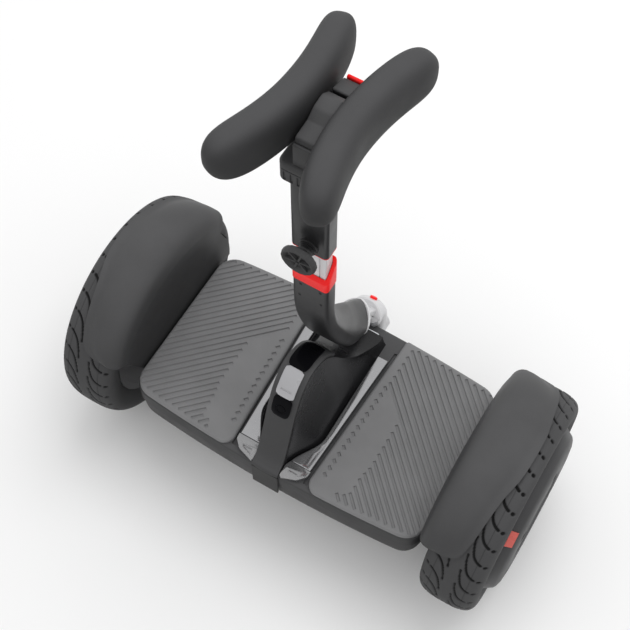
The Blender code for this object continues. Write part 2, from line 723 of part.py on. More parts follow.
def along_neck(distance, rise):
    """A (y, z) place by its distance past the neck's end and its rise over the neck's axis."""
    slope = math.radians(NECK_SLOPE_DEG)
    forward = Vector((math.cos(slope), -math.sin(slope)))
    upward = Vector((math.sin(slope), math.cos(slope)))
    return Vector(NECK_END) + forward * distance + upward * rise


# Side view of the neck casing: (y, depth below its top) on its rear line and its front line, from the
# top down, and how far its section has changed from the stem's to the domed one at its end
NECK_LINES = (((-0.0175, 0.0), (0.0015, 0.0), 0.0),
              ((-0.0175, 0.0322), (0.0015, 0.0312), 0.0),
              ((-0.0155, 0.0652), (0.0030, 0.0602), 0.1),
              ((-0.0080, 0.1012), (0.0120, 0.0932), 0.3),
              ((0.0050, 0.1422), (0.0320, 0.1252), 0.6),
              ((0.0220, 0.1792), (0.0560, 0.1527), 0.9),
              ((0.0390, 0.2082), (0.0762, 0.1786), 1.0))


def ring_across(rear, front, half_width, corner, dome=0.0, steps=3):
    """A rounded section across a side-view line, whose front half can swell into a dome."""
    rear, front = Vector(rear), Vector(front)
    across = (front - rear).normalized()
    half = (front - rear).length / 2
    middle = (front + rear) / 2
    outline = rounded_rectangle(half_width, half, corner, steps)
    arc = len(outline) // 2
    widest = NECK_WIDEST * half
    ring = []
    for k, (x, v) in enumerate(outline):
        if k < arc:
            turn = math.pi * k / (arc - 1)
            reach = math.copysign(abs(math.cos(turn)) ** NECK_ARCH, math.cos(turn))
            x += dome * (half_width * reach - x)
            v += dome * (widest + (half - widest) * abs(math.sin(turn)) ** NECK_ARCH - v)
        ring.append((x, middle[0] + across[0] * v, middle[1] + across[1] * v))
    return ring


def neck_rings(depth):
    """Rounded sections down the neck, drawn in by a wall depth."""
    lines = [(Vector((rear[0], NECK_TOP - rear[1])), Vector((front[0], NECK_TOP - front[1])), growth)
             for rear, front, growth in NECK_LINES]
    lines.append((along_neck(0.0, -NECK_BELLY), along_neck(0.0, NECK_CROWN), 1.0))
    rings = []
    for rear, front, growth in lines:
        across = (front - rear).normalized() * depth
        half_width = STEM_HALF_WIDTH + growth * (NECK_END_HALF_WIDTH - STEM_HALF_WIDTH)
        corner = STEM_CORNER + growth * (NECK_BELLY_CORNER - STEM_CORNER)
        rings.append(ring_across(rear + across, front - across, half_width - depth,
                                 max(corner - depth, 0.001), growth))
    return rings


def neck_casing(finish):
    rings = neck_rings(0.0) + list(reversed(neck_rings(STEM_WALL)))
    return solid("neck_casing", skin(rings, loop=True), finish)


def clamp_collar(finish):
    """The red ring on the neck's top edge, low at the back and high in front."""
    bottom = NECK_TOP + GAP
    slope = (COLLAR_FRONT_TOP - COLLAR_REAR_TOP) / (2 * STEM_HALF_DEPTH)

    def ring(growth, half_width, half_depth, radius, slanted):
        outline = rounded_rectangle(half_width + growth, half_depth + growth, radius)
        points = []
        for x, y in outline:
            z = COLLAR_REAR_TOP + slope * (y + STEM_HALF_DEPTH) if slanted else bottom
            points.append((x, STEM_Y + y, z))
        return points

    outer = (COLLAR_GROWTH, STEM_HALF_WIDTH, STEM_HALF_DEPTH, STEM_CORNER)
    inner = (GAP, TUBE_HALF_WIDTH, TUBE_HALF_DEPTH, STEM_CORNER - STEM_WALL)
    rings = [ring(*outer, False), ring(*outer, True), ring(*inner, True), ring(*inner, False)]
    return solid("clamp_collar", skin(rings, loop=True), finish)


def stem_tube(name, bottom, top, half_width, half_depth, radius, wall, finish):
    outer = [stem_section(z, 0.0, half_width, half_depth, radius) for z in (bottom, top)]
    inner = [stem_section(z, 0.0, half_width - wall, half_depth - wall, max(radius - wall, 0.001))
             for z in (top, bottom)]
    return solid(name, skin(outer + inner, loop=True), finish)


def upper_tube(paint):
    half_depth = STEM_HALF_DEPTH + 0.0005
    rim_top = UPPER_TUBE_BOTTOM + RIM_LINE_HEIGHT
    tube = stem_tube("upper_tube", rim_top + GAP, UPPER_TUBE_TOP, STEM_HALF_WIDTH, half_depth, STEM_CORNER,
                     STEM_WALL, paint["black"])
    rear = STEM_Y - half_depth
    centre = (0, rear, KNOB_HEIGHT)
    length = KNOB_BOSS_LENGTH
    profile = [(0.0012, 0), (0.0012, KNOB_BOSS_RADIUS), (-length * 0.45, KNOB_BOSS_RADIUS),
               (-length * 0.45, KNOB_BOSS_RADIUS * 0.84), (-length, KNOB_BOSS_RADIUS * 0.84), (-length, 0)]
    join(tube, solid("knob_boss_shape", turned("Y", centre, profile, 20), paint["black"]))
    cut(tube, rod("stud_hole", "Y", centre, STEM_WALL + 0.001, -length - 0.002, STUD_RADIUS + RUNNING_GAP,
                  paint["black"]))
    rim = stem_tube("upper_tube_rim", UPPER_TUBE_BOTTOM, rim_top, STEM_HALF_WIDTH, half_depth, STEM_CORNER,
                    STEM_WALL, paint["red"])
    return [tube, rim]


def clamp_knob(paint):
    """The star knob on its stud, which presses the upper tube onto the inner one."""
    rear = STEM_Y - STEM_HALF_DEPTH - 0.0005
    start = -KNOB_BOSS_LENGTH - GAP
    disc = start - KNOB_NECK_LENGTH
    centre = (0, rear, KNOB_HEIGHT)
    profile = [(disc, 0), (disc, KNOB_RADIUS * 0.80), (disc - 0.0015, KNOB_RADIUS),
               (disc - KNOB_THICKNESS + 0.0020, KNOB_RADIUS), (disc - KNOB_THICKNESS, KNOB_RADIUS * 0.88),
               (disc - KNOB_THICKNESS + 0.0025, KNOB_RADIUS * 0.62), (disc - KNOB_THICKNESS, 0)]
    work = turned("Y", centre, profile, 36, lobes=KNOB_LOBES, lobe_depth=KNOB_LOBE_DEPTH)
    knob = solid("clamp_knob", work, paint["black"])
    stud_end = STEM_WALL + 0.0001
    stem = [(stud_end, 0), (stud_end, STUD_RADIUS), (start, STUD_RADIUS), (start, KNOB_NECK_RADIUS),
            (disc - 0.002, KNOB_NECK_RADIUS), (disc - 0.002, 0)]
    join(knob, solid("knob_stem_shape", turned("Y", centre, stem, ROD_SEGMENTS), paint["black"]))
    pivot = joint_axis("clamp_knob_axis", centre)
    carry(pivot, knob)
    return pivot


def steering_arm(paint):
    """The cast arm from the steering shaft in front of the deck up to the neck's lower end."""
    width = ARM_HALF_WIDTH

    def section(distance, low, high, half_width, corner, dome=0.0):
        return ring_across(along_neck(distance, low), along_neck(distance, high), half_width, corner, dome)

    knee = STEER_HEIGHT + ARM_KNEE
    foot = STEER_HEIGHT + ARM_FOOT
    knee_front = along_neck(RELEASE_PLACE + 0.0020, ARM_CROWN)
    body = [section(ARM_WAIST_END, -0.0045, ARM_CROWN, width, ARM_CORNER),
            ring_across((ARM_BACK - 0.0045, knee), knee_front, width, ARM_CORNER),
            ring_across((ARM_BACK, knee - 0.0110), (ARM_FRONT - 0.0005, knee - 0.0080), width, ARM_CORNER),
            ring_across((ARM_BACK, foot), (ARM_FRONT, foot + 0.0020), width, ARM_CORNER),
            ring_across((ARM_BACK, STEER_HEIGHT), (ARM_FRONT, STEER_HEIGHT), width, ARM_CORNER)]
    arm = solid("steering_arm", skin(body), paint["silver"])
    waist = [section(0.0040, -0.0035, 0.0120, ARM_WAIST_HALF_WIDTH, 0.003),
             section(ARM_WAIST_END + 0.0020, -0.0015, 0.0120, ARM_WAIST_HALF_WIDTH, 0.003)]
    join(arm, solid("arm_waist_shape", skin(waist), paint["silver"]))
    flange = [section(place, -NECK_BELLY, NECK_CROWN, NECK_END_HALF_WIDTH, NECK_BELLY_CORNER, 1.0)
              for place in (GAP, ARM_FLANGE)]
    join(arm, solid("arm_flange_shape", skin(flange), paint["silver"]))
    spigot = [section(place, -0.0110, ARM_SPIGOT_CROWN, ARM_SPIGOT_HALF_WIDTH, 0.005)
              for place in (-0.016, 0.0020)]
    join(arm, solid("arm_spigot_shape", skin(spigot), paint["silver"]))
    centre = (0, 0, STEER_HEIGHT)
    boss_radius = width + 0.0010
    boss_back = ARM_BACK - 0.0006
    boss_front = ARM_FRONT + 0.0010
    profile = [(boss_back, 0), (boss_back, boss_radius), (boss_front - 0.002, boss_radius),
               (boss_front, boss_radius - 0.002), (boss_front, 0)]
    join(arm, solid("arm_boss_shape", turned("Y", centre, profile, 28), paint["silver"]))
    place = along_neck(RELEASE_PLACE, ARM_CROWN)
    turn = Matrix.Rotation(-math.radians(NECK_SLOPE_DEG), 4, "X")
    seat = Matrix.Translation((0, place[0], place[1])) @ turn

    def peg(name, low, high, radius, look):
        work = turned("Z", (0, 0, 0), [(low, 0), (low, radius), (high, radius), (high, 0)], 20)
        bmesh.ops.transform(work, matrix=seat, verts=work.verts)
        return solid(name, work, paint[look])

    cut(arm, peg("release_pocket", -RELEASE_DEPTH - 0.003, 0.010, RELEASE_RADIUS + RUNNING_GAP, "silver"))
    cut(arm, rod("arm_bore", "Y", centre, ARM_BACK - 0.005, ARM_BACK + 0.020, SHAFT_RADIUS + GAP,
                 paint["silver"], 20))
    button = peg("release_button", -RELEASE_DEPTH + 0.001, RELEASE_PROUD, RELEASE_RADIUS, "red")
    button_axis = joint_axis("release_axis", (0, place[0], place[1]))
    carry(button_axis, button)
    return arm, button, button_axis


def steering_core(paint):
    """Shaft, its two bearings in the chassis and the spring that centres the bar."""
    centre = (0, 0, STEER_HEIGHT)
    back = -CHASSIS_HALF_DEPTH + 0.004
    shaft = rod("steering_shaft", "Y", centre, back, ARM_BACK + 0.0195, SHAFT_RADIUS, paint["steel"], 20)
    parts = [shaft]
    front_seat = DECK_FRONT - 0.0185
    for name, place in (("rear_shaft_bearing", back), ("front_shaft_bearing", front_seat)):
        profile = [(place, SHAFT_RADIUS + RUNNING_GAP), (place, SHAFT_BEARING_RADIUS),
                   (place + SHAFT_BEARING_WIDTH, SHAFT_BEARING_RADIUS),
                   (place + SHAFT_BEARING_WIDTH, SHAFT_RADIUS + RUNNING_GAP)]
        parts.append(solid(name, turned("Y", centre, profile, 20, loop=True), paint["steel"]))
    low = back + SHAFT_BEARING_WIDTH + 0.0015
    high = front_seat - 0.0015
    rings = []
    count = SPRING_TURNS * 8
    for k in range(count + 1):
        turn = 2 * math.pi * k / 8
        y = low + (high - low) * k / count
        outward = Vector((math.cos(turn), 0, math.sin(turn)))
        place = Vector((0, y, STEER_HEIGHT)) + outward * SPRING_MEAN_RADIUS
        ring = []
        for j in range(4):
            around = 2 * math.pi * j / 4
            ring.append(place + outward * SPRING_WIRE_RADIUS * math.cos(around)
                        + Vector((0, 1, 0)) * SPRING_WIRE_RADIUS * math.sin(around))
        rings.append([tuple(point) for point in ring])
    parts.append(solid("centring_spring", skin(rings), paint["steel"]))
    return parts


def chassis(paint):
    """A cast T-shaped beam: it holds both axles, and the steering shaft in its forward arm."""
    half = DECK_HALF_LENGTH - SHELL_WALL - CHASSIS_END_CLEARANCE
    arm = CHASSIS_ARM_HALF_WIDTH
    depth = CHASSIS_HALF_DEPTH
    front = DECK_FRONT - SHELL_WALL - 0.005
    outline = filleted([(half, -depth, 0.003), (half, depth, 0.003), (arm, depth, 0.006),
                        (arm, front, 0.003), (-arm, front, 0.003), (-arm, depth, 0.006),
                        (-half, depth, 0.003), (-half, -depth, 0.003)], 2)
    top = DECK_TOP - SHELL_WALL - GAP
    beam = prism("chassis_beam", [flat_ring(outline, CHASSIS_BOTTOM), flat_ring(outline, top)],
                 paint["cast"])
    cut(beam, rod("shaft_bore", "Y", (0, 0, STEER_HEIGHT), -depth - 0.01, front + 0.01,
                  SHAFT_BEARING_RADIUS + GAP, paint["cast"], 24))
    for side in (-1, 1):
        inner = half - AXLE_SEAT - GAP
        cut(beam, rod("axle_bore", "X", (0, 0, TYRE_RADIUS), side * inner, side * (half + 0.01),
                      AXLE_RADIUS + GAP, paint["cast"], 20))
    return beam


def shells(paint):
    """Lower tub and upper lid, with cuts for the axles, the steering shaft and the charge port."""
    wall = SHELL_WALL
    levels = ((BELLY_INSET, DECK_FLOOR), (BELLY_INSET - 0.006, DECK_FLOOR + 0.0020),
              (0.0070, DECK_FLOOR + 0.0120), (0.0024, DECK_FLOOR + 0.0280), (0.0010, DECK_SEAM - GAP))
    outer = [flat_ring(deck_outline(inset), z) for inset, z in levels]
    inner = [flat_ring(deck_outline(inset + wall), z + 0.001) for inset, z in reversed(levels[2:-1])]
    inner.insert(0, flat_ring(deck_outline(levels[-1][0] + wall), levels[-1][1]))
    inner.append(flat_ring(deck_outline(BELLY_INSET - 0.003), DECK_FLOOR + wall + 0.0018))
    inner.append(flat_ring(deck_outline(BELLY_INSET + 0.001), DECK_FLOOR + wall))
    tub = solid("lower_shell", skin(outer + inner), paint["black"])
    lid_levels = ((0.0030, 0.0), (0.0008, 0.0010), (0.0, 0.0032), (0.0, DECK_TOP - DECK_SEAM))
    lid_outer = [flat_ring(deck_outline(inset), DECK_TOP - drop) for inset, drop in lid_levels]
    lid_inner = [flat_ring(deck_outline(wall), DECK_SEAM), flat_ring(deck_outline(wall), DECK_TOP - wall)]
    lid = solid("upper_shell", skin(lid_outer + lid_inner), paint["black"])
    for side in (-1, 1):
        hole = rod("axle_hole", "X", (0, 0, TYRE_RADIUS), side * (DECK_HALF_LENGTH - 0.008),
                   side * (DECK_HALF_LENGTH + 0.004), AXLE_RADIUS + 0.0015, paint["black"], 20)
        cut(tub, hole)
        cut(lid, hole)
    cut(tub, rod("shaft_hole", "Y", (0, 0, STEER_HEIGHT), DECK_FRONT - 0.008, DECK_FRONT + 0.004,
                 SHAFT_RADIUS + 0.0015, paint["black"], 20))
    cut(tub, block("port_window", (-PORT_HALF_WIDTH - GAP, -DECK_REAR - 0.004, PORT_BOTTOM - GAP),
                   (PORT_HALF_WIDTH + GAP, -DECK_REAR + 0.008, PORT_TOP + GAP), paint["black"]))
    return tub, lid


def electrics(paint):
    floor = DECK_FLOOR + SHELL_WALL + GAP
    battery = block("battery_pack", (-BATTERY_HALF_LENGTH, BATTERY_BACK, floor),
                    (BATTERY_HALF_LENGTH, BATTERY_FRONT, BATTERY_TOP), paint["battery"], 0.003)
    board = block("control_board", (-BOARD_HALF_LENGTH, BOARD_BACK, floor + 0.0025),
                  (BOARD_HALF_LENGTH, BOARD_FRONT, floor + 0.0025 + BOARD_THICKNESS), paint["board"])
    join(board, block("heat_sink_shape", (-0.060, BOARD_BACK + 0.008, floor + 0.0035),
                      (0.060, BOARD_FRONT - 0.012, floor + 0.0035 + HEAT_SINK_HEIGHT), paint["board"]))
    for x in (-BOARD_HALF_LENGTH + 0.006, BOARD_HALF_LENGTH - 0.006):
        join(board, rod("board_foot_shape", "Z", (x, (BOARD_BACK + BOARD_FRONT) / 2, 0), floor,
                        floor + 0.0035, 0.003, paint["board"], 8))
    back = -DECK_REAR + 0.0012
    socket = block("charge_socket", (-PORT_HALF_WIDTH, back, PORT_BOTTOM),
                   (PORT_HALF_WIDTH, back + PORT_DEPTH, PORT_TOP), paint["black"])
    middle = (PORT_BOTTOM + PORT_TOP) / 2
    cut(socket, rod("port_hole", "Y", (0, 0, middle), back - 0.002, back + 0.010, PORT_HOLE_RADIUS,
                    paint["black"]))
    return [battery, board, socket]


def charge_cover(paint):
    """A flap over the charge port, hung from a rounded top edge on the rear of the deck."""
    half = COVER_THICKNESS / 2
    face = -DECK_REAR - GAP
    axis_y = face - half
    axis_z = COVER_TOP - half
    outline = [(face, COVER_BOTTOM + 0.0006), (face, axis_z)]
    outline += [(axis_y + half * math.cos(math.radians(a)), axis_z + half * math.sin(math.radians(a)))
                for a in (45, 90, 135)]
    outline += [(face - COVER_THICKNESS, axis_z), (face - COVER_THICKNESS, COVER_BOTTOM)]
    rings = [side_ring(outline, -COVER_HALF_WIDTH), side_ring(outline, COVER_HALF_WIDTH)]
    cover = prism("charge_port_cover", rings, paint["black"])
    carry(joint_axis("charge_cover_axis", (0, axis_y, axis_z)), cover)
    return cover


def dash(paint):
    """Spine cover over the console's crest, with the display, key panel and power button on it."""
    spine_last = SPINE_END * CREST_SAMPLES
    spine = crest_strip("console_spine", 0, spine_last, RIDGE_HALF_WIDTH, -SPINE_THICKNESS,
                        SPINE_THICKNESS - 0.0002, SPINE_CROWN, paint["black"], 2)
    base = SPINE_CROWN + GAP
    low = base - 0.0001
    plate = crest_strip("button_plate", PLATE_START, PANEL_START - DASH_JOINT, DASH_HALF_WIDTH, low,
                        DASH_THICKNESS, 0.0003, paint["gloss"])
    panel = crest_strip("key_panel", PANEL_START, WINDOW_START - DASH_JOINT, DASH_HALF_WIDTH, low,
                        DASH_THICKNESS, 0.0003, paint["silver"])
    window = crest_strip("display_window", WINDOW_START, WINDOW_END, DASH_HALF_WIDTH + 0.0012, low,
                         DASH_THICKNESS, 0.0003, paint["gloss"])
    point, normal = crest_frame(BUTTON_PLACE)
    outward = Vector((0, normal[0], normal[1]))
    centre = Vector((0, point[0], point[1]))
    turn = outward.to_track_quat("Z", "Y").to_matrix().to_4x4()

    def peg(name, low, high, radius):
        work = turned("Z", (0, 0, 0), [(low, 0), (low, radius), (high, radius), (high, 0)], 20)
        bmesh.ops.transform(work, matrix=Matrix.Translation(centre) @ turn, verts=work.verts)
        return solid(name, work, paint["gloss"])

    hole = peg("button_hole", -0.010, 0.010, BUTTON_RADIUS + GAP)
    cut(plate, hole)
    cut(spine, hole)
    top = base + DASH_THICKNESS + 0.0006
    button = peg("power_button", top - BUTTON_HEIGHT, top, BUTTON_RADIUS)
    carry(joint_axis("power_button_axis", centre), button)
    return [spine, plate, panel, window, button]


def lights(paint):
    parts = []
    base = DECK_TOP + GAP
    for name, side in (("left", -1), ("right", 1)):
        outline = [(side * x, y) for x, y in ((0.0215, -0.1085), (0.0330, -0.1065), (0.0400, -0.0985),
                                              (0.0380, -0.0945), (0.0300, -0.0960), (0.0215, -0.1010))]
        rings = bevelled(flat_ring, outline, base, base + TAIL_LIGHT_HEIGHT, 0.0008, False)
        parts.append(prism(name + "_tail_light", rings, paint["lens"]))
    front, roof = console_line(len(crest_path) - 1)
    top = roof - 0.0025
    half = HEADLIGHT_HALF_WIDTH
    outline = filleted([(half, base + 0.0010, 0.002), (half - 0.002, top, 0.003),
                        (-half + 0.002, top, 0.003), (-half, base + 0.0010, 0.002)], 2)
    rings = bevelled(front_ring, outline, front + GAP, front + GAP + HEADLIGHT_THICKNESS, 0.0006, False)
    parts.append(prism("headlight", rings, paint["lens_clear"]))
    return parts


def head(paint):
    """Shoulder on the tube's top, the core between the pads, the arched grip and the top plate."""
    wall = SHOULDER_WALL
    fit = GAP
    depth = STEM_HALF_DEPTH + 0.0005
    outer_width = SHOULDER_HALF_WIDTH
    outer_depth = depth + wall + 0.0065
    radius = STEM_CORNER + 0.003

    def ring(z, half_width, half_depth, corner):
        return stem_section(z, 0.0, half_width, half_depth, corner)

    outer = [ring(SHOULDER_BOTTOM, STEM_HALF_WIDTH + 0.0016, depth + 0.0016, STEM_CORNER + 0.0012),
             ring(SHOULDER_BOTTOM + 0.008, outer_width, outer_depth, radius),
             ring(SHOULDER_TOP - 0.003, outer_width, outer_depth, radius),
             ring(SHOULDER_TOP, outer_width - 0.003, outer_depth - 0.003, radius - 0.001)]
    ledge = UPPER_TUBE_TOP + GAP
    narrow_width = STEM_HALF_WIDTH - STEM_WALL
    narrow_depth = depth - STEM_WALL
    inner = [ring(SHOULDER_TOP - wall, narrow_width, narrow_depth, 0.0024),
             ring(ledge, narrow_width, narrow_depth, 0.0024),
             ring(ledge, STEM_HALF_WIDTH + fit, depth + fit, STEM_CORNER),
             ring(SHOULDER_BOTTOM, STEM_HALF_WIDTH + fit, depth + fit, STEM_CORNER)]
    shoulder = solid("head_shoulder", skin(list(reversed(outer)) + list(reversed(inner))), paint["black"])
    base = SHOULDER_TOP + GAP

    def slab(name, corners, half_width, bevel, look="black"):
        outline = filleted([(y, z - HEAD_PITCH * (y - PAD_MIDDLE) if z > base + 0.001 else z, radius)
                            for y, z, radius in corners], 2)
        if bevel > 0:
            rings = bevelled(side_ring, outline, -half_width, half_width, bevel)
        else:
            rings = [side_ring(outline, -half_width), side_ring(outline, half_width)]
        return prism(name, rings, paint[look])

    core = slab("head_core", [(CORE_BACK, base, 0.0), (CORE_FRONT, base, 0.0),
                              (CORE_FRONT, CORE_TOP, 0.0015), (CORE_BACK, CORE_TOP, 0.0015)],
                CORE_HALF_WIDTH, 0.0)
    seat = CORE_TOP + GAP
    grip_end = CORE_FRONT - 0.0260
    rise = BRIDGE_RISE
    bridge = slab("grip_bridge", [(CORE_BACK + 0.002, seat, 0.0), (grip_end, seat, 0.0),
                                  (grip_end, CORE_TOP + rise - 0.0080, 0.003),
                                  (grip_end - 0.0100, CORE_TOP + rise - 0.0010, 0.010),
                                  (grip_end - 0.0240, CORE_TOP + rise - 0.0050, 0.010),
                                  (grip_end - 0.0340, CORE_TOP + rise - 0.0130, 0.004),
                                  (CORE_BACK + 0.0040, CORE_TOP + rise - 0.0175, 0.003)],
                  CORE_HALF_WIDTH, 0.0010)
    plate_back = CORE_FRONT - 0.0200
    plate = slab("top_plate", [(plate_back, seat, 0.0), (CORE_FRONT, seat, 0.0),
                               (CORE_FRONT, CORE_TOP + PLATE_RISE - 0.0040, 0.002),
                               (plate_back, CORE_TOP + PLATE_RISE, 0.002)], CORE_HALF_WIDTH, 0.0008)
    tab_back = CORE_FRONT + GAP
    tab_front = tab_back + TAB_THICKNESS
    tab = slab("pad_release_tab", [(tab_back, TAB_BOTTOM, 0.001), (tab_front, TAB_BOTTOM, 0.001),
                                   (tab_front, TAB_TOP, 0.001), (tab_back, TAB_TOP, 0.001)],
               TAB_HALF_WIDTH, 0.0006, "red")
    tab_axis = joint_axis("pad_release_axis", (0, tab_back, TAB_TOP))
    carry(tab_axis, tab)
    return [shoulder, core, bridge, plate], tab_axis


def knee_pad(name, side, finish):
    """A crowned foam pad that bends away from the core at both ends."""
    stations = 15
    sides = 16
    rings = []
    for k in range(stations):
        share = -math.cos(math.pi * k / (stations - 1))
        flare = PAD_FRONT_FLARE if share > 0 else PAD_REAR_FLARE
        y = PAD_MIDDLE + PAD_HALF_LENGTH * share
        x = PAD_OFFSET + flare * share * share
        slope = 2 * flare * share / PAD_HALF_LENGTH
        along = Vector((slope, 1.0)).normalized()
        across = Vector((along[1], -along[0]))
        end = max(1 - abs(share) ** 9, 0.0) ** 0.5
        if k in (0, stations - 1):
            rings.append([(side * x, y, PAD_HEIGHT - HEAD_PITCH * (y - PAD_MIDDLE))])
            continue
        ring = []
        for j in range(sides):
            turn = 2 * math.pi * j / sides
            power = 0.72
            u = math.copysign(abs(math.cos(turn)) ** power, math.cos(turn)) * PAD_HALF_THICKNESS * end
            v = math.copysign(abs(math.sin(turn)) ** power, math.sin(turn)) * PAD_HALF_HEIGHT * end
            z = PAD_HEIGHT - HEAD_PITCH * (y - PAD_MIDDLE) + v
            ring.append((side * (x + across[0] * u), y + across[1] * u, z))
        rings.append(ring)
    return solid(name, skin(rings), finish, 60)


def parking_stand(paint):
    """A folding leg under the front of the deck, shown set down on the floor."""
    half = STAND_LEG_HALF_WIDTH
    pivot = (0, STAND_PIVOT_Y, STAND_PIVOT_Z)
    lug_in = half + RUNNING_GAP
    lug_out = lug_in + STAND_LUG
    top = DECK_FLOOR - GAP
    bracket = block("stand_bracket", (-lug_out - 0.006, STAND_PIVOT_Y - 0.014, top - 0.0030),
                    (lug_out + 0.006, STAND_PIVOT_Y + 0.010, top), paint["steel"])
    for side in (-1, 1):
        outline = filleted([(STAND_PIVOT_Y - 0.010, top - 0.001, 0),
                            (STAND_PIVOT_Y + 0.008, top - 0.001, 0),
                            (STAND_PIVOT_Y + 0.0055, STAND_PIVOT_Z - 0.0055, 0.005),
                            (STAND_PIVOT_Y - 0.0055, STAND_PIVOT_Z - 0.0055, 0.005)], 3)
        rings = [side_ring(outline, side * lug_in), side_ring(outline, side * lug_out)]
        join(bracket, prism("lug_shape", rings, paint["steel"]))
    join(bracket, rod("stand_pin_shape", "X", pivot, -lug_in - 0.001, lug_in + 0.001, STAND_PIN_RADIUS,
                      paint["steel"]))
    foot_top = STAND_FOOT_HEIGHT + GAP
    eye = rod("stand_leg", "X", pivot, -half, half, STAND_EYE_RADIUS, paint["steel"], 20)
    outline = [(STAND_PIVOT_Y - 0.0055, STAND_PIVOT_Z - 0.002), (STAND_FOOT_Y - 0.0055, foot_top),
               (STAND_FOOT_Y + 0.0055, foot_top), (STAND_PIVOT_Y + 0.0055, STAND_PIVOT_Z - 0.001)]
    rings = [side_ring(outline, -half + 0.0002), side_ring(outline, half - 0.0002)]
    join(eye, prism("leg_bar_shape", rings, paint["steel"]))
    cut(eye, rod("stand_pin_hole", "X", pivot, -half - 0.002, half + 0.002, STAND_PIN_RADIUS + RUNNING_GAP,
                 paint["steel"]))
    foot = block("stand_foot", (-STAND_FOOT_HALF_WIDTH, STAND_FOOT_Y - STAND_FOOT_HALF_DEPTH, 0),
                 (STAND_FOOT_HALF_WIDTH, STAND_FOOT_Y + STAND_FOOT_HALF_DEPTH, STAND_FOOT_HEIGHT),
                 paint["rubber"], 0.0015)
    carry(joint_axis("stand_axis", pivot), eye, foot)
    return [bracket, eye, foot]


def steering(paint):
    """Everything that leans about the fore-and-aft shaft, with the bar's raised part on its own slide."""
    lean = joint_axis("steering_axis", (0, 0, STEER_HEIGHT))
    raised = joint_axis("bar_height_axis", (0, STEM_Y, UPPER_TUBE_BOTTOM))
    shaft = steering_core(paint)[0]
    arm, button, button_axis = steering_arm(paint)
    neck = neck_casing(paint["black"])
    collar = clamp_collar(paint["red"])
    tube = stem_tube("inner_tube", TUBE_BOTTOM, TUBE_TOP, TUBE_HALF_WIDTH, TUBE_HALF_DEPTH,
                     STEM_CORNER - STEM_WALL, TUBE_WALL, paint["silver"])
    carry(lean, shaft, arm, neck, collar, tube, button_axis, raised)
    knob_axis = clamp_knob(paint)
    top_pieces, tab_axis = head(paint)
    pads = [knee_pad("left_knee_pad", -1, paint["foam"]), knee_pad("right_knee_pad", 1, paint["foam"])]
    carry(raised, knob_axis, tab_axis, *upper_tube(paint), *top_pieces, *pads)


def build():
    for old in list(bpy.data.objects):
        bpy.data.objects.remove(old)
    paint = {
        "black": material("satin_black", (0.035, 0.035, 0.037), 0.42),
        "gloss": material("gloss_black", (0.012, 0.012, 0.013), 0.12),
        "shell": material("console_black", (0.022, 0.022, 0.024), 0.25),
        "trim": material("trim_grey", (0.30, 0.30, 0.31), 0.25),
        "mat": material("mat_rubber", (0.17, 0.17, 0.175), 0.62),
        "tyre": material("tyre_rubber", (0.045, 0.045, 0.047), 0.70),
        "rubber": material("foot_rubber", (0.03, 0.03, 0.03), 0.80),
        "foam": material("pad_foam", (0.07, 0.07, 0.072), 0.66),
        "red": material("signal_red", (0.85, 0.02, 0.02), 0.35),
        "reflector": material("reflector_red", (0.75, 0.10, 0.09), 0.20),
        "silver": material("satin_silver", (0.66, 0.66, 0.67), 0.35, 0.6),
        "steel": material("zinc_steel", (0.50, 0.50, 0.52), 0.35, 1.0),
        "cast": material("cast_magnesium", (0.40, 0.40, 0.42), 0.50, 0.9),
        "drum": material("drum_grey", (0.10, 0.10, 0.105), 0.45, 0.3),
        "cover": material("hub_cover_grey", (0.06, 0.06, 0.063), 0.38),
        "copper": material("stator_copper", (0.55, 0.27, 0.12), 0.45, 0.8),
        "battery": material("battery_blue", (0.03, 0.10, 0.28), 0.55),
        "board": material("board_green", (0.02, 0.16, 0.06), 0.50),
        "lens": material("tail_lens", (0.30, 0.30, 0.305), 0.15),
        "lens_clear": material("head_lens", (0.80, 0.82, 0.85), 0.10),
    }
    shells(paint)
    chassis(paint)
    electrics(paint)
    charge_cover(paint)
    console_shell(paint["shell"])
    dash(paint)
    lights(paint)
    for name, side in (("left", -1), ("right", 1)):
        foot_mat(name + "_foot_mat", side, paint["mat"])
        console_trim(name + "_console_trim", side, paint["trim"])
        fender(name + "_fender", side, paint["black"])
        motor_core(name, side, paint)
        wheel(name, side, paint)
    steering(paint)
    parking_stand(paint)


build()
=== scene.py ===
import json
import math

import bmesh
import bpy
import numpy as np
from mathutils import Matrix, Vector


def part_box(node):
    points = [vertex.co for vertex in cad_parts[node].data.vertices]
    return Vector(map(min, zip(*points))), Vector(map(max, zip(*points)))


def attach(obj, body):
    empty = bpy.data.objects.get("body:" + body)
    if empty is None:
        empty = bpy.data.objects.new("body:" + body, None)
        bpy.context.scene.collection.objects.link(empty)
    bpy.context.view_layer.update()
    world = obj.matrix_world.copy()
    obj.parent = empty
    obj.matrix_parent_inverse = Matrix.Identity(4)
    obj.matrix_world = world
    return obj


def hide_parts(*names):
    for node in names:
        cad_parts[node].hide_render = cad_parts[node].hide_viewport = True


# Visual model of a self-balancing scooter over its CAD frame.
# Metres; X to the rider's right, Y forwards, Z up, origin on the floor between the wheels.

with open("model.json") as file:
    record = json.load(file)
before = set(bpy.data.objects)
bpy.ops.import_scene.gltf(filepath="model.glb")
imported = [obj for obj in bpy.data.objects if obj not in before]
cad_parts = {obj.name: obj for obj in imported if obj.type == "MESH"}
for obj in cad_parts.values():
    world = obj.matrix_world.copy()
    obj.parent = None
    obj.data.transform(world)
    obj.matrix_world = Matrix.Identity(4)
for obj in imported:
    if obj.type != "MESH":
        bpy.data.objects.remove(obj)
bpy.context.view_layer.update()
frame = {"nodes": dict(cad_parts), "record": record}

MM = 0.001
GAP = 0.0003                # between pieces that touch
SIDES = (("left", -1), ("right", 1))

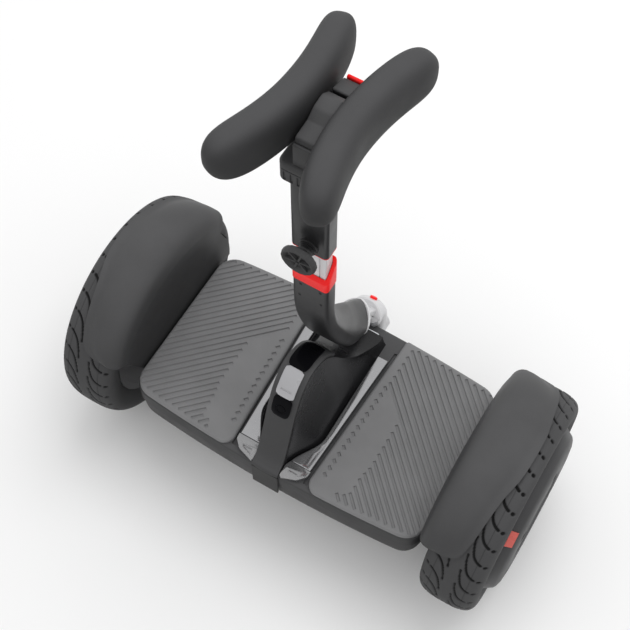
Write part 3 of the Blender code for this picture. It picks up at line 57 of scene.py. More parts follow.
# Driving sizes, read from the frame
tyre_low, tyre_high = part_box("right_tyre")
deck_low, deck_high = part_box("upper_shell")
belly_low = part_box("lower_shell")[0]
mat_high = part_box("right_foot_mat")[1]
fender_low, fender_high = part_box("right_fender")
cover_low, cover_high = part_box("right_hub_cover")
shaft_low, shaft_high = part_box("steering_shaft")
arm_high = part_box("steering_arm")[1]
neck_low, neck_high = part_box("neck_casing")
collar_low, collar_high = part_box("clamp_collar")
inner_low, inner_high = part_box("inner_tube")
outer_low, outer_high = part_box("upper_tube")
red_rim_low, red_rim_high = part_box("upper_tube_rim")
knob_low, knob_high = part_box("clamp_knob")
shoulder_low, shoulder_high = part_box("head_shoulder")
core_low, core_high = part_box("head_core")
tab_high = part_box("pad_release_tab")[1]

TYRE_RADIUS = (tyre_high.z - tyre_low.z) / 2
AXLE_HEIGHT = (tyre_high.z + tyre_low.z) / 2
WHEEL_OFFSET = (tyre_low.x + tyre_high.x) / 2
TYRE_HALF_WIDTH = (tyre_high.x - tyre_low.x) / 2
DECK_HALF_LENGTH = deck_high.x
DECK_FRONT = deck_high.y
DECK_REAR = -deck_low.y
DECK_TOP = deck_high.z
DECK_SEAM = deck_low.z
DECK_FLOOR = belly_low.z
MAT_TOP = mat_high.z
STEER_HEIGHT = (shaft_low.z + shaft_high.z) / 2
ARM_BACK = DECK_FRONT + 0.0030
NECK_TOP = neck_high.z
STEM_Y = -0.008
STEM_HALF_WIDTH = outer_high.x
STEM_HALF_DEPTH = 0.0095
OUTER_DEPTH = STEM_HALF_DEPTH + 0.0005      # of the upper tube
ROD_SEGMENTS = 48


# ---------------------------------------------------------------- shaping helpers

def curve(points, count):
    """Points along a smooth curve through the given ones."""
    spots = [Vector(point) for point in points]
    last = len(spots) - 1
    result = []
    for k in range(count):
        run = k / (count - 1) * last
        i = min(int(run), last - 1)
        t = run - i
        p0, p1, p2, p3 = (spots[min(max(i + j, 0), last)] for j in (-1, 0, 1, 2))
        result.append(0.5 * (2 * p1 + (p2 - p0) * t + (2 * p0 - 5 * p1 + 4 * p2 - p3) * t ** 2
                             + (3 * p1 - p0 - 3 * p2 + p3) * t ** 3))
    return result


def between(table, value):
    """The second column of a table at a value of its first one, along straight lines."""
    return float(np.interp(value, [row[0] for row in table], [row[1] for row in table]))


def skin(rings, loop=False):
    """Faces through rings of points; open ends are capped, and a ring of one point is a tip."""
    work = bmesh.new()
    rows = [[work.verts.new(point) for point in ring] for ring in rings]
    pairs = list(zip(rows, rows[1:]))
    if loop:
        pairs.append((rows[-1], rows[0]))
    for low, high in pairs:
        count = max(len(low), len(high))
        for i in range(count):
            j = (i + 1) % count
            corners = (low[i % len(low)], low[j % len(low)], high[j % len(high)], high[i % len(high)])
            distinct = list(dict.fromkeys(corners))
            if len(distinct) > 2:
                work.faces.new(distinct)
    if not loop:
        for row in (rows[0], rows[-1]):
            if len(row) > 2:
                work.faces.new(row)
    return work


def turned(axis, centre, profile, segments=96, loop=False, lobes=0, lobe_depth=0.0):
    """A body turned about an axis; the profile holds (distance along the axis, radius)."""
    along = "XYZ".index(axis)
    first, second = [i for i in range(3) if i != along]
    rings = []
    for distance, radius in profile:
        ring = []
        for k in range(segments if radius > 0 else 1):
            turn = 2 * math.pi * k / segments
            reach = radius * (1 - lobe_depth / 2 + lobe_depth / 2 * math.cos(lobes * turn))
            point = list(centre)
            point[along] += distance
            point[first] += reach * math.cos(turn)
            point[second] += reach * math.sin(turn)
            ring.append(point)
        rings.append(ring)
    return skin(rings, loop)


def filleted(corners, steps=8):
    """A closed outline from (x, y, radius) corners, with each corner rounded by an arc."""
    outline = []
    for i, (x, y, radius) in enumerate(corners):
        corner = Vector((x, y))
        before = (Vector(corners[i - 1][:2]) - corner).normalized()
        after = (Vector(corners[(i + 1) % len(corners)][:2]) - corner).normalized()
        spread = before.angle(after)
        if radius <= 0 or spread > math.pi - 0.02:
            outline.append((x, y))
            continue
        reach = radius / math.tan(spread / 2)
        centre = corner + (before + after).normalized() * radius / math.sin(spread / 2)
        start = corner + before * reach - centre
        end = corner + after * reach - centre
        swing = math.pi - spread
        for k in range(steps + 1):
            share = k / steps
            offset = start * math.sin((1 - share) * swing) + end * math.sin(share * swing)
            outline.append(tuple(centre + offset / math.sin(swing)))
    return outline


def rounded_rectangle(half_u, half_v, radius, steps=6):
    return filleted([(half_u, half_v, radius), (-half_u, half_v, radius),
                     (-half_u, -half_v, radius), (half_u, -half_v, radius)], steps)


def drawn_in(outline, depth):
    """The same outline moved inwards by a depth, with as many points."""
    area = sum(outline[i - 1][0] * outline[i][1] - outline[i][0] * outline[i - 1][1]
               for i in range(len(outline)))
    inward = 1 if area > 0 else -1
    result = []
    for i, point in enumerate(outline):
        here = Vector(point)
        before = (here - Vector(outline[i - 1])).normalized()
        after = (Vector(outline[(i + 1) % len(outline)]) - here).normalized()
        bisector = Vector((-before[1] - after[1], before[0] + after[0])).normalized()
        stretch = max(bisector.dot(Vector((-before[1], before[0]))), 0.4)
        result.append(tuple(here + bisector * inward * depth / stretch))
    return result


def flat_ring(outline, z):
    return [(x, y, z) for x, y in outline]


def side_ring(outline, x):
    return [(x, y, z) for y, z in outline]


def front_ring(outline, y):
    return [(x, y, z) for x, z in outline]


def rod_shape(axis, centre, low, high, radius):
    """A plain round bar between two distances along an axis."""
    return turned(axis, centre, [(low, 0), (low, radius), (high, radius), (high, 0)], ROD_SEGMENTS)


def box_shape(low, high):
    work = bmesh.new()
    bmesh.ops.create_cube(work, size=1.0)
    for vertex in work.verts:
        for i in range(3):
            vertex.co[i] = low[i] if vertex.co[i] < 0 else high[i]
    return work


def moved(work, matrix):
    bmesh.ops.transform(work, matrix=matrix, verts=work.verts)
    return work


def gathered(works):
    """Several shapes that don't touch, as one."""
    whole = bmesh.new()
    for work in works:
        mesh = bpy.data.meshes.new("gathered")
        work.to_mesh(mesh)
        work.free()
        whole.from_mesh(mesh)
        bpy.data.meshes.remove(mesh)
    return whole


def plain_object(name, work):
    bmesh.ops.recalc_face_normals(work, faces=work.faces)
    mesh = bpy.data.meshes.new(name)
    work.to_mesh(mesh)
    work.free()
    made = bpy.data.objects.new(name, mesh)
    bpy.context.scene.collection.objects.link(made)
    return made


def piece(name, work, body, look, swaps=(), sharp=35.0, bevel=0.0, cuts=(), joins=(), bevel_angle=30.0):
    """A finished piece: shaped, cut, bevelled, smoothed, painted and set on its CAD body."""
    made = plain_object(name, work)
    helpers = []
    for operation, shapes in (("UNION", joins), ("DIFFERENCE", cuts)):
        for shape in shapes:
            helper = plain_object(name + "_helper", shape)
            step = made.modifiers.new(operation, "BOOLEAN")
            step.operation = operation
            step.solver = "EXACT"
            step.object = helper
            helpers.append(helper)
    if bevel > 0:
        edge = made.modifiers.new("edge", "BEVEL")
        edge.width = bevel
        edge.segments = 3
        edge.limit_method = "ANGLE"
        edge.angle_limit = math.radians(bevel_angle)
        edge.harden_normals = False
    if made.modifiers:
        seen = made.evaluated_get(bpy.context.evaluated_depsgraph_get())
        mesh = bpy.data.meshes.new_from_object(seen)
        made.modifiers.clear()
        made.data = mesh
    for helper in helpers:
        bpy.data.objects.remove(helper)
    made.data.shade_smooth()
    made.data.set_sharp_from_angle(angle=math.radians(sharp))
    made.data.materials.clear()
    made.data.materials.append(looks[look])
    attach(made, body)
    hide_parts(*swaps)
    return made


# ---------------------------------------------------------------- finishes

def ranged(tree, value, low, high, start, end):
    """A value moved from the range start to end into the range low to high."""
    ramp = tree.nodes.new("ShaderNodeMapRange")
    for name, number in (("From Min", start), ("From Max", end), ("To Min", low), ("To Max", high)):
        ramp.inputs[name].default_value = number
    tree.links.new(value, ramp.inputs["Value"])
    return ramp.outputs["Result"]


def mixed(tree, factor, first, second):
    """A colour between two others, each given as a colour or as a socket."""
    mix = tree.nodes.new("ShaderNodeMix")
    mix.data_type = "RGBA"
    for socket, value in ((6, first), (7, second)):
        if isinstance(value, tuple):
            mix.inputs[socket].default_value = (*value, 1.0)
        else:
            tree.links.new(value, mix.inputs[socket])
    tree.links.new(factor, mix.inputs[0])
    return mix.outputs[2]


def surface(slot, colour, rough, metallic=0.0, grain=900.0, bump=0.10, mottle=0.10, spread=0.06,
            wear=0.0, stretch=(1.0, 1.0, 1.0), groove=0.0, specular=0.5, painted_side_shade=0.0):
    """A finish with mottled colour, uneven roughness and a fine grain.

    Wear pales its edges, painted shade leaves its sides darker than its top, and painted shade darkens the
    tread's grooves.
    """
    look = bpy.data.materials.new(slot)
    look.use_nodes = True
    nodes = look.node_tree.nodes
    links = look.node_tree.links
    shader = nodes["Principled BSDF"]
    place = nodes.new("ShaderNodeTexCoord")
    scale = nodes.new("ShaderNodeMapping")
    scale.inputs["Scale"].default_value = stretch
    links.new(place.outputs["Object"], scale.inputs["Vector"])

    def noise(size, detail):
        texture = nodes.new("ShaderNodeTexNoise")
        texture.inputs["Scale"].default_value = size
        texture.inputs["Detail"].default_value = detail
        links.new(scale.outputs["Vector"], texture.inputs["Vector"])
        return texture.outputs["Fac"]

    def blended(factor, first, second):
        return mixed(look.node_tree, factor, first, second)

    def spread_out(value, low, high, start=0.3, end=0.7):
        return ranged(look.node_tree, value, low, high, start, end)

    broad = noise(22.0, 4.0)
    fine = noise(grain, 3.0)
    dark = tuple(c * (1 - mottle) for c in colour)
    pale = tuple(min(c * (1 + mottle), 1.0) for c in colour)
    tint = blended(spread_out(broad, 0.0, 1.0), dark, pale)
    tint = blended(spread_out(fine, 0.0, 0.5), tint, pale)
    if wear > 0:
        shape = nodes.new("ShaderNodeNewGeometry")
        edge = spread_out(shape.outputs["Pointiness"], 0.0, wear, 0.52, 0.62)
        tint = blended(edge, tint, tuple(min(c * 1.8 + 0.03, 1.0) for c in colour))
    # Painted shade: faces turned away from straight up get a darker colour than the top, standing in for the
    # shade on the sides.
    if painted_side_shade > 0:
        shape = nodes.new("ShaderNodeNewGeometry")
        parts = nodes.new("ShaderNodeSeparateXYZ")
        links.new(shape.outputs["Normal"], parts.inputs[0])
        upper = spread_out(parts.outputs["Z"], 0.0, 1.0, 0.0, 1.0)
        tint = blended(upper, tuple(c * (1 - painted_side_shade) for c in colour), tint)
    # Painted shade in the tread's grooves: the deeper a point sits in a groove, the nearer its colour goes to
    # black.
    if groove > 0:
        groove_shade_mark = nodes.new("ShaderNodeAttribute")
        groove_shade_mark.attribute_name = "groove"
        tint = blended(spread_out(groove_shade_mark.outputs["Fac"], 0.0, groove, 0.1, 0.8), tint,
                       tuple(c * 0.06 for c in colour))
    links.new(tint, shader.inputs["Base Color"])
    links.new(spread_out(broad, rough - spread, rough + spread), shader.inputs["Roughness"])
    shader.inputs["Metallic"].default_value = metallic
    shader.inputs["Specular IOR Level"].default_value = specular
    relief = nodes.new("ShaderNodeBump")
    relief.inputs["Strength"].default_value = bump
    relief.inputs["Distance"].default_value = 0.0004
    links.new(fine, relief.inputs["Height"])
    links.new(relief.outputs["Normal"], shader.inputs["Normal"])
    return look


# Some finishes paint shade on their sides, darker than their tops; the tyre's also paints shade into its
# grooves.
LOOKS = {
    "satin_black": dict(colour=(0.074, 0.074, 0.076), rough=0.50, bump=0.16, specular=0.22, painted_side_shade=0.6),
    "gloss_black": dict(colour=(0.004, 0.004, 0.005), rough=0.12, bump=0.02, specular=0.03),
    "console_black": dict(colour=(0.012, 0.012, 0.013), rough=0.26, bump=0.03, specular=0.35),
    "trim_grey": dict(colour=(0.38, 0.38, 0.39), rough=0.13, spread=0.03, metallic=0.9, bump=0.02,
                      mottle=0.05),
    "mat_rubber": dict(colour=(0.18, 0.18, 0.183), rough=0.62, bump=0.35, grain=1500.0, mottle=0.12),
    "tyre_rubber": dict(colour=(0.066, 0.066, 0.068), rough=0.66, bump=0.25, groove=1.0, mottle=0.14,
                        specular=0.25, painted_side_shade=0.4),
    "foot_rubber": dict(colour=(0.03, 0.03, 0.03), rough=0.80, bump=0.30),
    "pad_foam": dict(colour=(0.062, 0.062, 0.064), rough=0.62, bump=0.30, grain=2600.0, mottle=0.08,
                     specular=0.2, painted_side_shade=0.55),
    "signal_red": dict(colour=(0.93, 0.012, 0.012), rough=0.38, bump=0.05, mottle=0.04, specular=0.25),
    "reflector_red": dict(colour=(0.60, 0.12, 0.10), rough=0.30, bump=0.30, grain=700.0, specular=0.3),
    "tail_lens": dict(colour=(0.30, 0.30, 0.305), rough=0.18, metallic=0.8, bump=0.05),
    "head_lens": dict(colour=(0.78, 0.80, 0.83), rough=0.14, bump=0.10),
    "satin_silver": dict(colour=(0.62, 0.62, 0.63), rough=0.34, metallic=0.25, bump=0.05, mottle=0.05,
                         stretch=(1.0, 1.0, 0.2)),
    "key_silver": dict(colour=(0.42, 0.42, 0.435), rough=0.30, metallic=0.2, bump=0.04, mottle=0.05),
    "black_alloy": dict(colour=(0.018, 0.018, 0.019), rough=0.36, bump=0.10, wear=0.15, specular=0.3),
    "zinc_steel": dict(colour=(0.50, 0.50, 0.52), rough=0.35, metallic=1.0, bump=0.10,
                       stretch=(1.0, 0.15, 1.0)),
    "cast_magnesium": dict(colour=(0.40, 0.40, 0.42), rough=0.52, metallic=0.9, bump=0.45, grain=700.0),
    "drum_alloy": dict(colour=(0.075, 0.075, 0.078), rough=0.45, metallic=0.3, bump=0.12),
    "hub_cover_grey": dict(colour=(0.060, 0.060, 0.062), rough=0.46, bump=0.08, specular=0.2, painted_side_shade=0.35),
    "stator_core": dict(colour=(0.55, 0.27, 0.12), rough=0.42, metallic=0.8, bump=0.5, grain=420.0,
                        stretch=(6.0, 1.0, 1.0)),
    "battery_wrap": dict(colour=(0.03, 0.10, 0.28), rough=0.42, bump=0.25, grain=160.0),
    "board_green": dict(colour=(0.02, 0.16, 0.06), rough=0.48, bump=0.30, grain=300.0, mottle=0.25),
}
looks = {slot: surface(slot, **facts) for slot, facts in LOOKS.items()}


# ---------------------------------------------------------------- wheels

TREAD_PITCH_DEG = 10.0
COLUMNS_PER_PITCH = 30
ROW_STEP = 0.8 * MM
GROOVE_DEPTH = 2.0 * MM
HOOK_DOT = (28.5, 0.0)                  # mm across the tread, degrees along it
HOOK = ((23.0, 0.5), (18.5, 1.6), (15.0, 3.0), (12.0, 5.0), (9.6, 8.0), (8.0, 10.5), (7.0, 14.0))
HOOK_HALF_WIDTH = 1.55
HOOK_TAPER = 0.45
DOT_RADIUS = 2.1
GROOVE_FLANK = 0.8                      # mm over which a groove's side falls
FINE_LINE = 20.0                        # mm from the tread's middle
FINE_LINE_DEPTH = 0.35                  # share of the full depth
TREAD_EDGE = 0.1225                     # no grooves nearer the axle than this
SIDEWALL_STEP = 2.4                     # mm between rows outside the tread
OUTER_PHASE = {"left": 2.0, "right": 3.3}
OTHER_PHASE = 9.0
TYRE_SECTION = ((0.0, 133.0), (13.0, 132.6), (22.0, 130.9), (29.0, 127.5), (33.2, 121.5), (34.0, 115.0),
                (32.5, 108.0), (29.0, 102.5), (26.2, 100.0), (24.7, 97.8))
TYRE_INNER = ((19.2, 97.8), (27.0, 108.0), (28.0, 117.0), (16.0, 126.0), (0.0, 127.2))
POCKETS = 6                             # shallow ones in the hub cover's face
POCKET_CIRCLE = 0.0680


def groove_share(across, degrees, phase_plus, phase_minus):
    """How deep the tread's grooves are at places across and along it, from 0 to 1."""
    along_mm = math.radians(1.0) * TYRE_RADIUS / MM
    share = np.zeros(across.shape)
    hook = np.array([tuple(point) for point in curve(HOOK, 25)])
    for sign, phase in ((1, phase_plus), (-1, phase_minus)):
        for lap in range(-3, 4):
            shift = phase + lap * TREAD_PITCH_DEG
            dot = np.hypot(across - sign * HOOK_DOT[0], (degrees - shift) * along_mm)
            share = np.maximum(share, np.clip((DOT_RADIUS - dot) / GROOVE_FLANK + 0.5, 0, 1))
            for k in range(len(hook) - 1):
                start = np.array((sign * hook[k][0], (sign * hook[k][1] + shift) * along_mm))
                end = np.array((sign * hook[k + 1][0], (sign * hook[k + 1][1] + shift) * along_mm))
                run = end - start
                here = np.stack((across - start[0], degrees * along_mm - start[1]), axis=-1)
                t = np.clip((here @ run) / (run @ run), 0, 1)
                reach = np.hypot(here[..., 0] - t * run[0], here[..., 1] - t * run[1])
                width = HOOK_HALF_WIDTH * (1 - HOOK_TAPER * k / len(hook))
                share = np.maximum(share, np.clip((width - reach) / GROOVE_FLANK + 0.5, 0, 1))
    line = np.clip((0.5 - np.abs(np.abs(across) - FINE_LINE)) / 0.5 + 0.3, 0, 1)
    return np.maximum(share, line * FINE_LINE_DEPTH)


def carved_tyre(side_name, sign):
    """A tyre with its tread cut into a fine grid, and a hollow air space inside."""
    half = [Vector(point) for point in curve(TYRE_SECTION, 220)]
    kept = [half[0]]
    for point in half[1:]:
        step = ROW_STEP / MM if point[0] < 31 and point[1] > 124 else SIDEWALL_STEP
        if (point - kept[-1]).length >= step:
            kept.append(point)
    kept[-1] = half[-1]
    outer = [(-p[0], p[1]) for p in reversed(kept[1:])] + [(p[0], p[1]) for p in kept]
    inner = list(TYRE_INNER) + [(-x, r) for x, r in reversed(TYRE_INNER[:-1])]
    rows = np.array(outer + inner) * MM
    count = len(outer)
    tangent = np.gradient(rows[:count], axis=0)
    normal = np.stack((-tangent[:, 1], tangent[:, 0]), axis=1)
    normal /= np.linalg.norm(normal, axis=1)[:, None]
    columns = COLUMNS_PER_PITCH // 1
    degrees = np.arange(columns) * TREAD_PITCH_DEG / columns
    across = rows[:count, 0] / MM
    share = groove_share(*np.meshgrid(across, degrees, indexing="ij"), OUTER_PHASE[side_name], OTHER_PHASE)
    share[rows[:count, 1] < TREAD_EDGE] = 0.0
    laps = int(360 / TREAD_PITCH_DEG)
    share = np.tile(share, (1, laps))
    share = np.vstack((share, np.zeros((len(rows) - count, share.shape[1]))))
    normal = np.vstack((normal, np.zeros((len(rows) - count, 2))))
    angle = np.radians(np.arange(columns * laps) * TREAD_PITCH_DEG / columns)
    x = rows[:, 0, None] - normal[:, 0, None] * share * GROOVE_DEPTH
    r = rows[:, 1, None] - normal[:, 1, None] * share * GROOVE_DEPTH
    spots = np.stack((x + sign * WHEEL_OFFSET, -r * np.cos(angle), AXLE_HEIGHT + r * np.sin(angle)), axis=-1)
    total_rows, total = x.shape
    index = np.arange(total_rows * total).reshape(total_rows, total)
    below = np.roll(index, -1, axis=0)
    faces = np.stack((index, np.roll(index, -1, axis=1), np.roll(below, -1, axis=1), below), axis=-1)
    mesh = bpy.data.meshes.new(side_name + "_carved_tyre")
    mesh.from_pydata(spots.reshape(-1, 3).tolist(), [], faces.reshape(-1, 4).tolist())
    # Each point's groove depth, kept for the tyre finish's painted shade in the grooves.
    groove_shade_mark = mesh.attributes.new("groove", "FLOAT", "POINT")
    groove_shade_mark.data.foreach_set("value", share.reshape(-1).astype(np.float32))
    work = bmesh.new()
    work.from_mesh(mesh)
    bpy.data.meshes.remove(mesh)
    piece(side_name + "_carved_tyre", work, side_name + "_wheel", "tyre_rubber", [side_name + "_tyre"],
          sharp=180.0)


def hub_cover(side_name, sign):
    """The wheel's outer cover: rounded rim, a dished face with a raised ring, and six shallow pockets."""
    crown = cover_high.x
    back = cover_low.x
    lip = cover_high.z - AXLE_HEIGHT
    outside = [(back, lip - 0.0075), (back, lip - 0.0002), (back + 0.0014, lip),
               (back + 0.0019, lip - 0.0009), (back + 0.0024, lip - 0.0022), (back + 0.0031, lip - 0.0023),
               (crown - 0.0138, lip - 0.0024), (crown - 0.0095, lip - 0.0054),
               (crown - 0.0050, lip - 0.0083), (crown - 0.0030, lip - 0.0115),
               (crown - 0.0012, lip - 0.0173), (crown - 0.0006, 0.0780), (crown - 0.0001, 0.0730),
               (crown, 0.0680), (crown, 0.0600), (crown - 0.0006, 0.0540), (crown - 0.0022, 0.0520),
               (crown - 0.0024, 0.0460), (crown - 0.0012, 0.0440), (crown - 0.0010, 0.0400),
               (crown - 0.0036, 0.0340), (crown - 0.0044, 0.0200), (crown - 0.0045, 0.0)]
    inside = [(crown - 0.0070, 0.0), (crown - 0.0062, 0.030), (crown - 0.0028, 0.058),
              (crown - 0.0058, lip - 0.0133), (back + 0.0030, lip - 0.0090)]
    work = turned("X", (0, 0, AXLE_HEIGHT), [(sign * x, r) for x, r in inside + outside], 120)
    pockets = []
    outline = rounded_rectangle(0.0062, 0.0088, 0.004)
    rings = [front_ring(outline, -0.003), front_ring([(x * 0.8, z * 0.8) for x, z in outline], 0.0020)]
    for k in range(POCKETS):
        turn = math.radians(360 / POCKETS * k + 15)
        shape = moved(skin(rings), Matrix.Rotation(math.radians(90), 4, "Z"))
        place = (sign * (crown + 0.0003), POCKET_CIRCLE * math.cos(turn),
                 AXLE_HEIGHT + POCKET_CIRCLE * math.sin(turn))
        spin = Matrix.Rotation(turn - math.pi / 2, 4, "X") @ Matrix.Scale(sign, 4, (1, 0, 0))
        pockets.append(moved(shape, Matrix.Translation(place) @ spin))
    piece(side_name + "_cover_face", work, side_name + "_wheel", "hub_cover_grey",
          [side_name + "_hub_cover"], cuts=[gathered(pockets)], sharp=28.0)


# ---------------------------------------------------------------- fenders

FENDER_REAR_DEG = 31.0
FENDER_FRONT_DEG = 141.0
FENDER_FOOT_REAR = -0.076
FENDER_FOOT_FRONT = 0.1020
FENDER_BULGE = 0.0060           # of the wall's front edge, between the deck and the arch
FENDER_WALL = 0.0026
FENDER_CLEARANCE = 0.0020
FENDER_RISE = 0.0102            # over the tyre
FENDER_STATIONS = 61
# Across the arch: distance out from the wall and drop below the top, in mm
FENDER_CROWN = ((1.0, 22.0), (6.0, 9.8), (15.0, 3.0), (28.0, 0.0), (41.0, 0.3), (53.0, 2.4), (63.0, 5.8))
# Share along the arch from its rear end, and how much of the full width is left there
FENDER_PLAN = ((0.0, 0.48), (0.012, 0.60), (0.04, 0.70), (0.13, 0.78), (0.31, 0.87), (0.45, 0.98),
               (0.62, 1.0), (0.72, 0.95), (0.87, 0.87), (0.96, 0.76), (0.988, 0.64), (1.0, 0.50))


def fender(side_name, sign):
    """An arched shell over the tyre, with a wall that sweeps down to the deck on its inner side."""
    wall_x = DECK_HALF_LENGTH + GAP
    foot_height = fender_low.z
    outer_edge = fender_high.x
    radius = TYRE_RADIUS + FENDER_RISE
    crown = [(x * MM, down * MM) for x, down in FENDER_CROWN] + [(outer_edge - wall_x, 0.0115)]
    smooth_plan = curve(FENDER_PLAN, 200)
    plan = [between(smooth_plan, k / (FENDER_STATIONS - 1)) for k in range(FENDER_STATIONS)]
    rings = []
    for k in range(FENDER_STATIONS):
        share = k / (FENDER_STATIONS - 1)
        angle = math.radians(FENDER_REAR_DEG + (FENDER_FRONT_DEG - FENDER_REAR_DEG) * share)
        foot_y = FENDER_FOOT_REAR + (FENDER_FOOT_FRONT - FENDER_FOOT_REAR) * share
        narrow = plan[k]
        dip = 0.0050 * abs(2 * share - 1) ** 8
        bulge = FENDER_BULGE * max(2 * share - 1, 0) ** 6
        sheets = []
        for depth in (0.0, FENDER_WALL):
            line = [Vector((wall_x + depth, foot_y, foot_height))]
            for j, (x, down) in enumerate(crown):
                reach = radius - down - depth - dip
                if x * narrow > WHEEL_OFFSET - TYRE_HALF_WIDTH - wall_x - 0.004:
                    reach = max(reach, TYRE_RADIUS + FENDER_CLEARANCE + FENDER_WALL - depth)
                run = max(wall_x + x * narrow, wall_x + depth) if j else wall_x + x * narrow + depth
                if depth and j == len(crown) - 1:
                    run -= depth * 0.2
                line.append(Vector((run, -reach * math.cos(angle), AXLE_HEIGHT + reach * math.sin(angle))))
            wall = [line[0].lerp(line[1], t / 6) + Vector((0, bulge * t * (6 - t) / 9, 0)) for t in range(6)]
            sheets.append(wall + curve(line[1:], 26))
        rings.append([(sign * x, y, z) for x, y, z in sheets[0] + list(reversed(sheets[1]))])
    piece(side_name + "_arched_fender", skin(rings), "base", "satin_black", [side_name + "_fender"],
          bevel=0.0007, bevel_angle=50.0, sharp=60.0)


for side_name, sign in SIDES:
    carved_tyre(side_name, sign)
    hub_cover(side_name, sign)
    fender(side_name, sign)


# ---------------------------------------------------------------- deck

DECK_BOW = 0.268
DECK_CORNER = 0.024
BELLY_INSET = 0.020
SHELL_WALL = 0.003
MAT_INNER_EDGE = 0.0531
MAT_SPLAY = 0.048
MAT_EDGE_INSET = 0.0012
SHAFT_HOLE_RADIUS = 0.0095

TRIM_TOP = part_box("right_console_trim")[1].z
TRIM_REAR = -0.0925
TRIM_FRONT = 0.0680
CHANNEL = 0.0038                # between the mat and the strip
CHANNEL_DEPTH = 0.0024          # cut into the lid below it
CHANNEL_MARGIN = 0.0006         # how far that cut reaches under the mat and the strip


def deck_edge(x, reach):
    """How far the deck's front or rear edge stands out at a place along the scooter."""
    return reach - DECK_BOW * x * x


def deck_outline(inset):
    """The deck's barrel-shaped plan, drawn in by an inset."""
    half = DECK_HALF_LENGTH - inset
    radius = DECK_CORNER - inset / 2
    stops = [half * share / 10 for share in range(8, -9, -1)]
    corners = [(half, deck_edge(half, DECK_FRONT) - inset, radius)]
    corners += [(x, deck_edge(x, DECK_FRONT) - inset, 0) for x in stops]
    corners += [(-half, deck_edge(half, DECK_FRONT) - inset, radius)]
    corners += [(-half, inset - deck_edge(half, DECK_REAR), radius)]
    corners += [(x, inset - deck_edge(x, DECK_REAR), 0) for x in reversed(stops)]
    corners += [(half, inset - deck_edge(half, DECK_REAR), radius)]
    return filleted(corners)


def axle_holes():
    return [rod_shape("X", (0, 0, AXLE_HEIGHT), side * (DECK_HALF_LENGTH - 0.008),
                      side * (DECK_HALF_LENGTH + 0.004), SHAFT_HOLE_RADIUS) for side in (-1, 1)]


def deck_shells():
    """Lower tub with its drawn-in belly and the upper lid, with a fine seam between them."""
    wall = SHELL_WALL
    seam = DECK_SEAM - GAP
    levels = ((BELLY_INSET, DECK_FLOOR), (BELLY_INSET - 0.0035, DECK_FLOOR + 0.0007),
              (BELLY_INSET - 0.006, DECK_FLOOR + 0.0025), (0.0070, DECK_FLOOR + 0.0120),
              (0.0040, DECK_FLOOR + 0.0190), (0.0024, DECK_FLOOR + 0.0280), (0.0012, seam - 0.0010),
              (0.0022, seam))
    outer = [flat_ring(deck_outline(inset), z) for inset, z in levels]
    inner = [flat_ring(deck_outline(0.0010 + wall), seam),
             flat_ring(deck_outline(0.0024 + wall), DECK_FLOOR + 0.029),
             flat_ring(deck_outline(0.0070 + wall), DECK_FLOOR + 0.013),
             flat_ring(deck_outline(BELLY_INSET - 0.003), DECK_FLOOR + wall + 0.0018),
             flat_ring(deck_outline(BELLY_INSET + 0.001), DECK_FLOOR + wall)]
    port_low, port_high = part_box("charge_socket")
    holes = axle_holes()
    holes.append(rod_shape("Y", (0, 0, STEER_HEIGHT), DECK_FRONT - 0.008, DECK_FRONT + 0.004,
                           SHAFT_HOLE_RADIUS))
    holes.append(box_shape((port_low.x - GAP, -DECK_REAR - 0.004, port_low.z - GAP),
                           (port_high.x + GAP, -DECK_REAR + 0.008, port_high.z + GAP)))
    piece("lower_tub", skin(outer + inner), "base", "satin_black", ["lower_shell"],
          cuts=[gathered(holes)], sharp=40.0)
    lid_levels = ((0.0032, 0.0), (0.0016, 0.0003), (0.0006, 0.0011), (0.0, 0.0028),
                  (0.0, DECK_TOP - DECK_SEAM - 0.0008), (0.0008, DECK_TOP - DECK_SEAM))
    lid = [flat_ring(deck_outline(inset), DECK_TOP - drop) for inset, drop in lid_levels]
    lid += [flat_ring(deck_outline(wall), DECK_SEAM), flat_ring(deck_outline(wall), DECK_TOP - wall)]
    holes = axle_holes()
    stops = [-0.1060 + 0.0100 * k for k in range(20)]
    for side in (-1, 1):
        far = [(side * (mat_inner_edge(y) + CHANNEL_MARGIN), y) for y in stops]
        near = [(side * (mat_inner_edge(y) - CHANNEL - CHANNEL_MARGIN), y) for y in reversed(stops)]
        holes.append(skin([flat_ring(far + near, z) for z in (DECK_TOP - CHANNEL_DEPTH, DECK_TOP + 0.001)]))
    piece("upper_lid", skin(lid), "base", "satin_black", ["upper_shell"], cuts=[gathered(holes)], sharp=40.0)


MAT_ROUNDING = 0.0034
GROOVE_WIDTH = 0.0042
GROOVE_FOOT = 0.0018
GROOVE_CUT = 0.0016
GROOVE_PITCH = {"left": 0.0097, "right": 0.0100}
GROOVE_START = {"left": -0.0010, "right": -0.0015}
GROOVE_OUTER_END = 0.1805
GROOVE_EDGE_MARGIN = 0.0050
# Where the long grooves stop towards the console, as (y, distance from the middle) in mm
BARE_PATCH = ((-110, 80), (-97, 82), (-95, 94), (-70, 95), (-50, 99), (3, 99), (20, 95.3), (38, 86.5))
DASH_COLUMN = 0.0113
DASH_LENGTH = 0.0050


def mat_inner_edge(y):
    return MAT_INNER_EDGE + MAT_SPLAY * y


def groove_cutter(sign, start, end):
    """A short channel from one (x, y) to another on the mat's top, wider above than below."""
    start, end = Vector(start), Vector(end)
    along = (end - start).normalized()
    across = Vector((-along[1], along[0]))
    rings = []
    for place, grow in ((start, -1), (end, 1)):
        ring = []
        for half, z in ((GROOVE_FOOT / 2, MAT_TOP - GROOVE_CUT), (GROOVE_WIDTH / 2, MAT_TOP + 0.0004)):
            tip = place + along * grow * (0.0003 if z > MAT_TOP else 0.0)
            pair = [(tip - across * half, z), (tip + across * half, z)]
            ring += pair if not ring else list(reversed(pair))
        rings.append([(sign * point[0], point[1], z) for point, z in ring])
    return skin(rings)


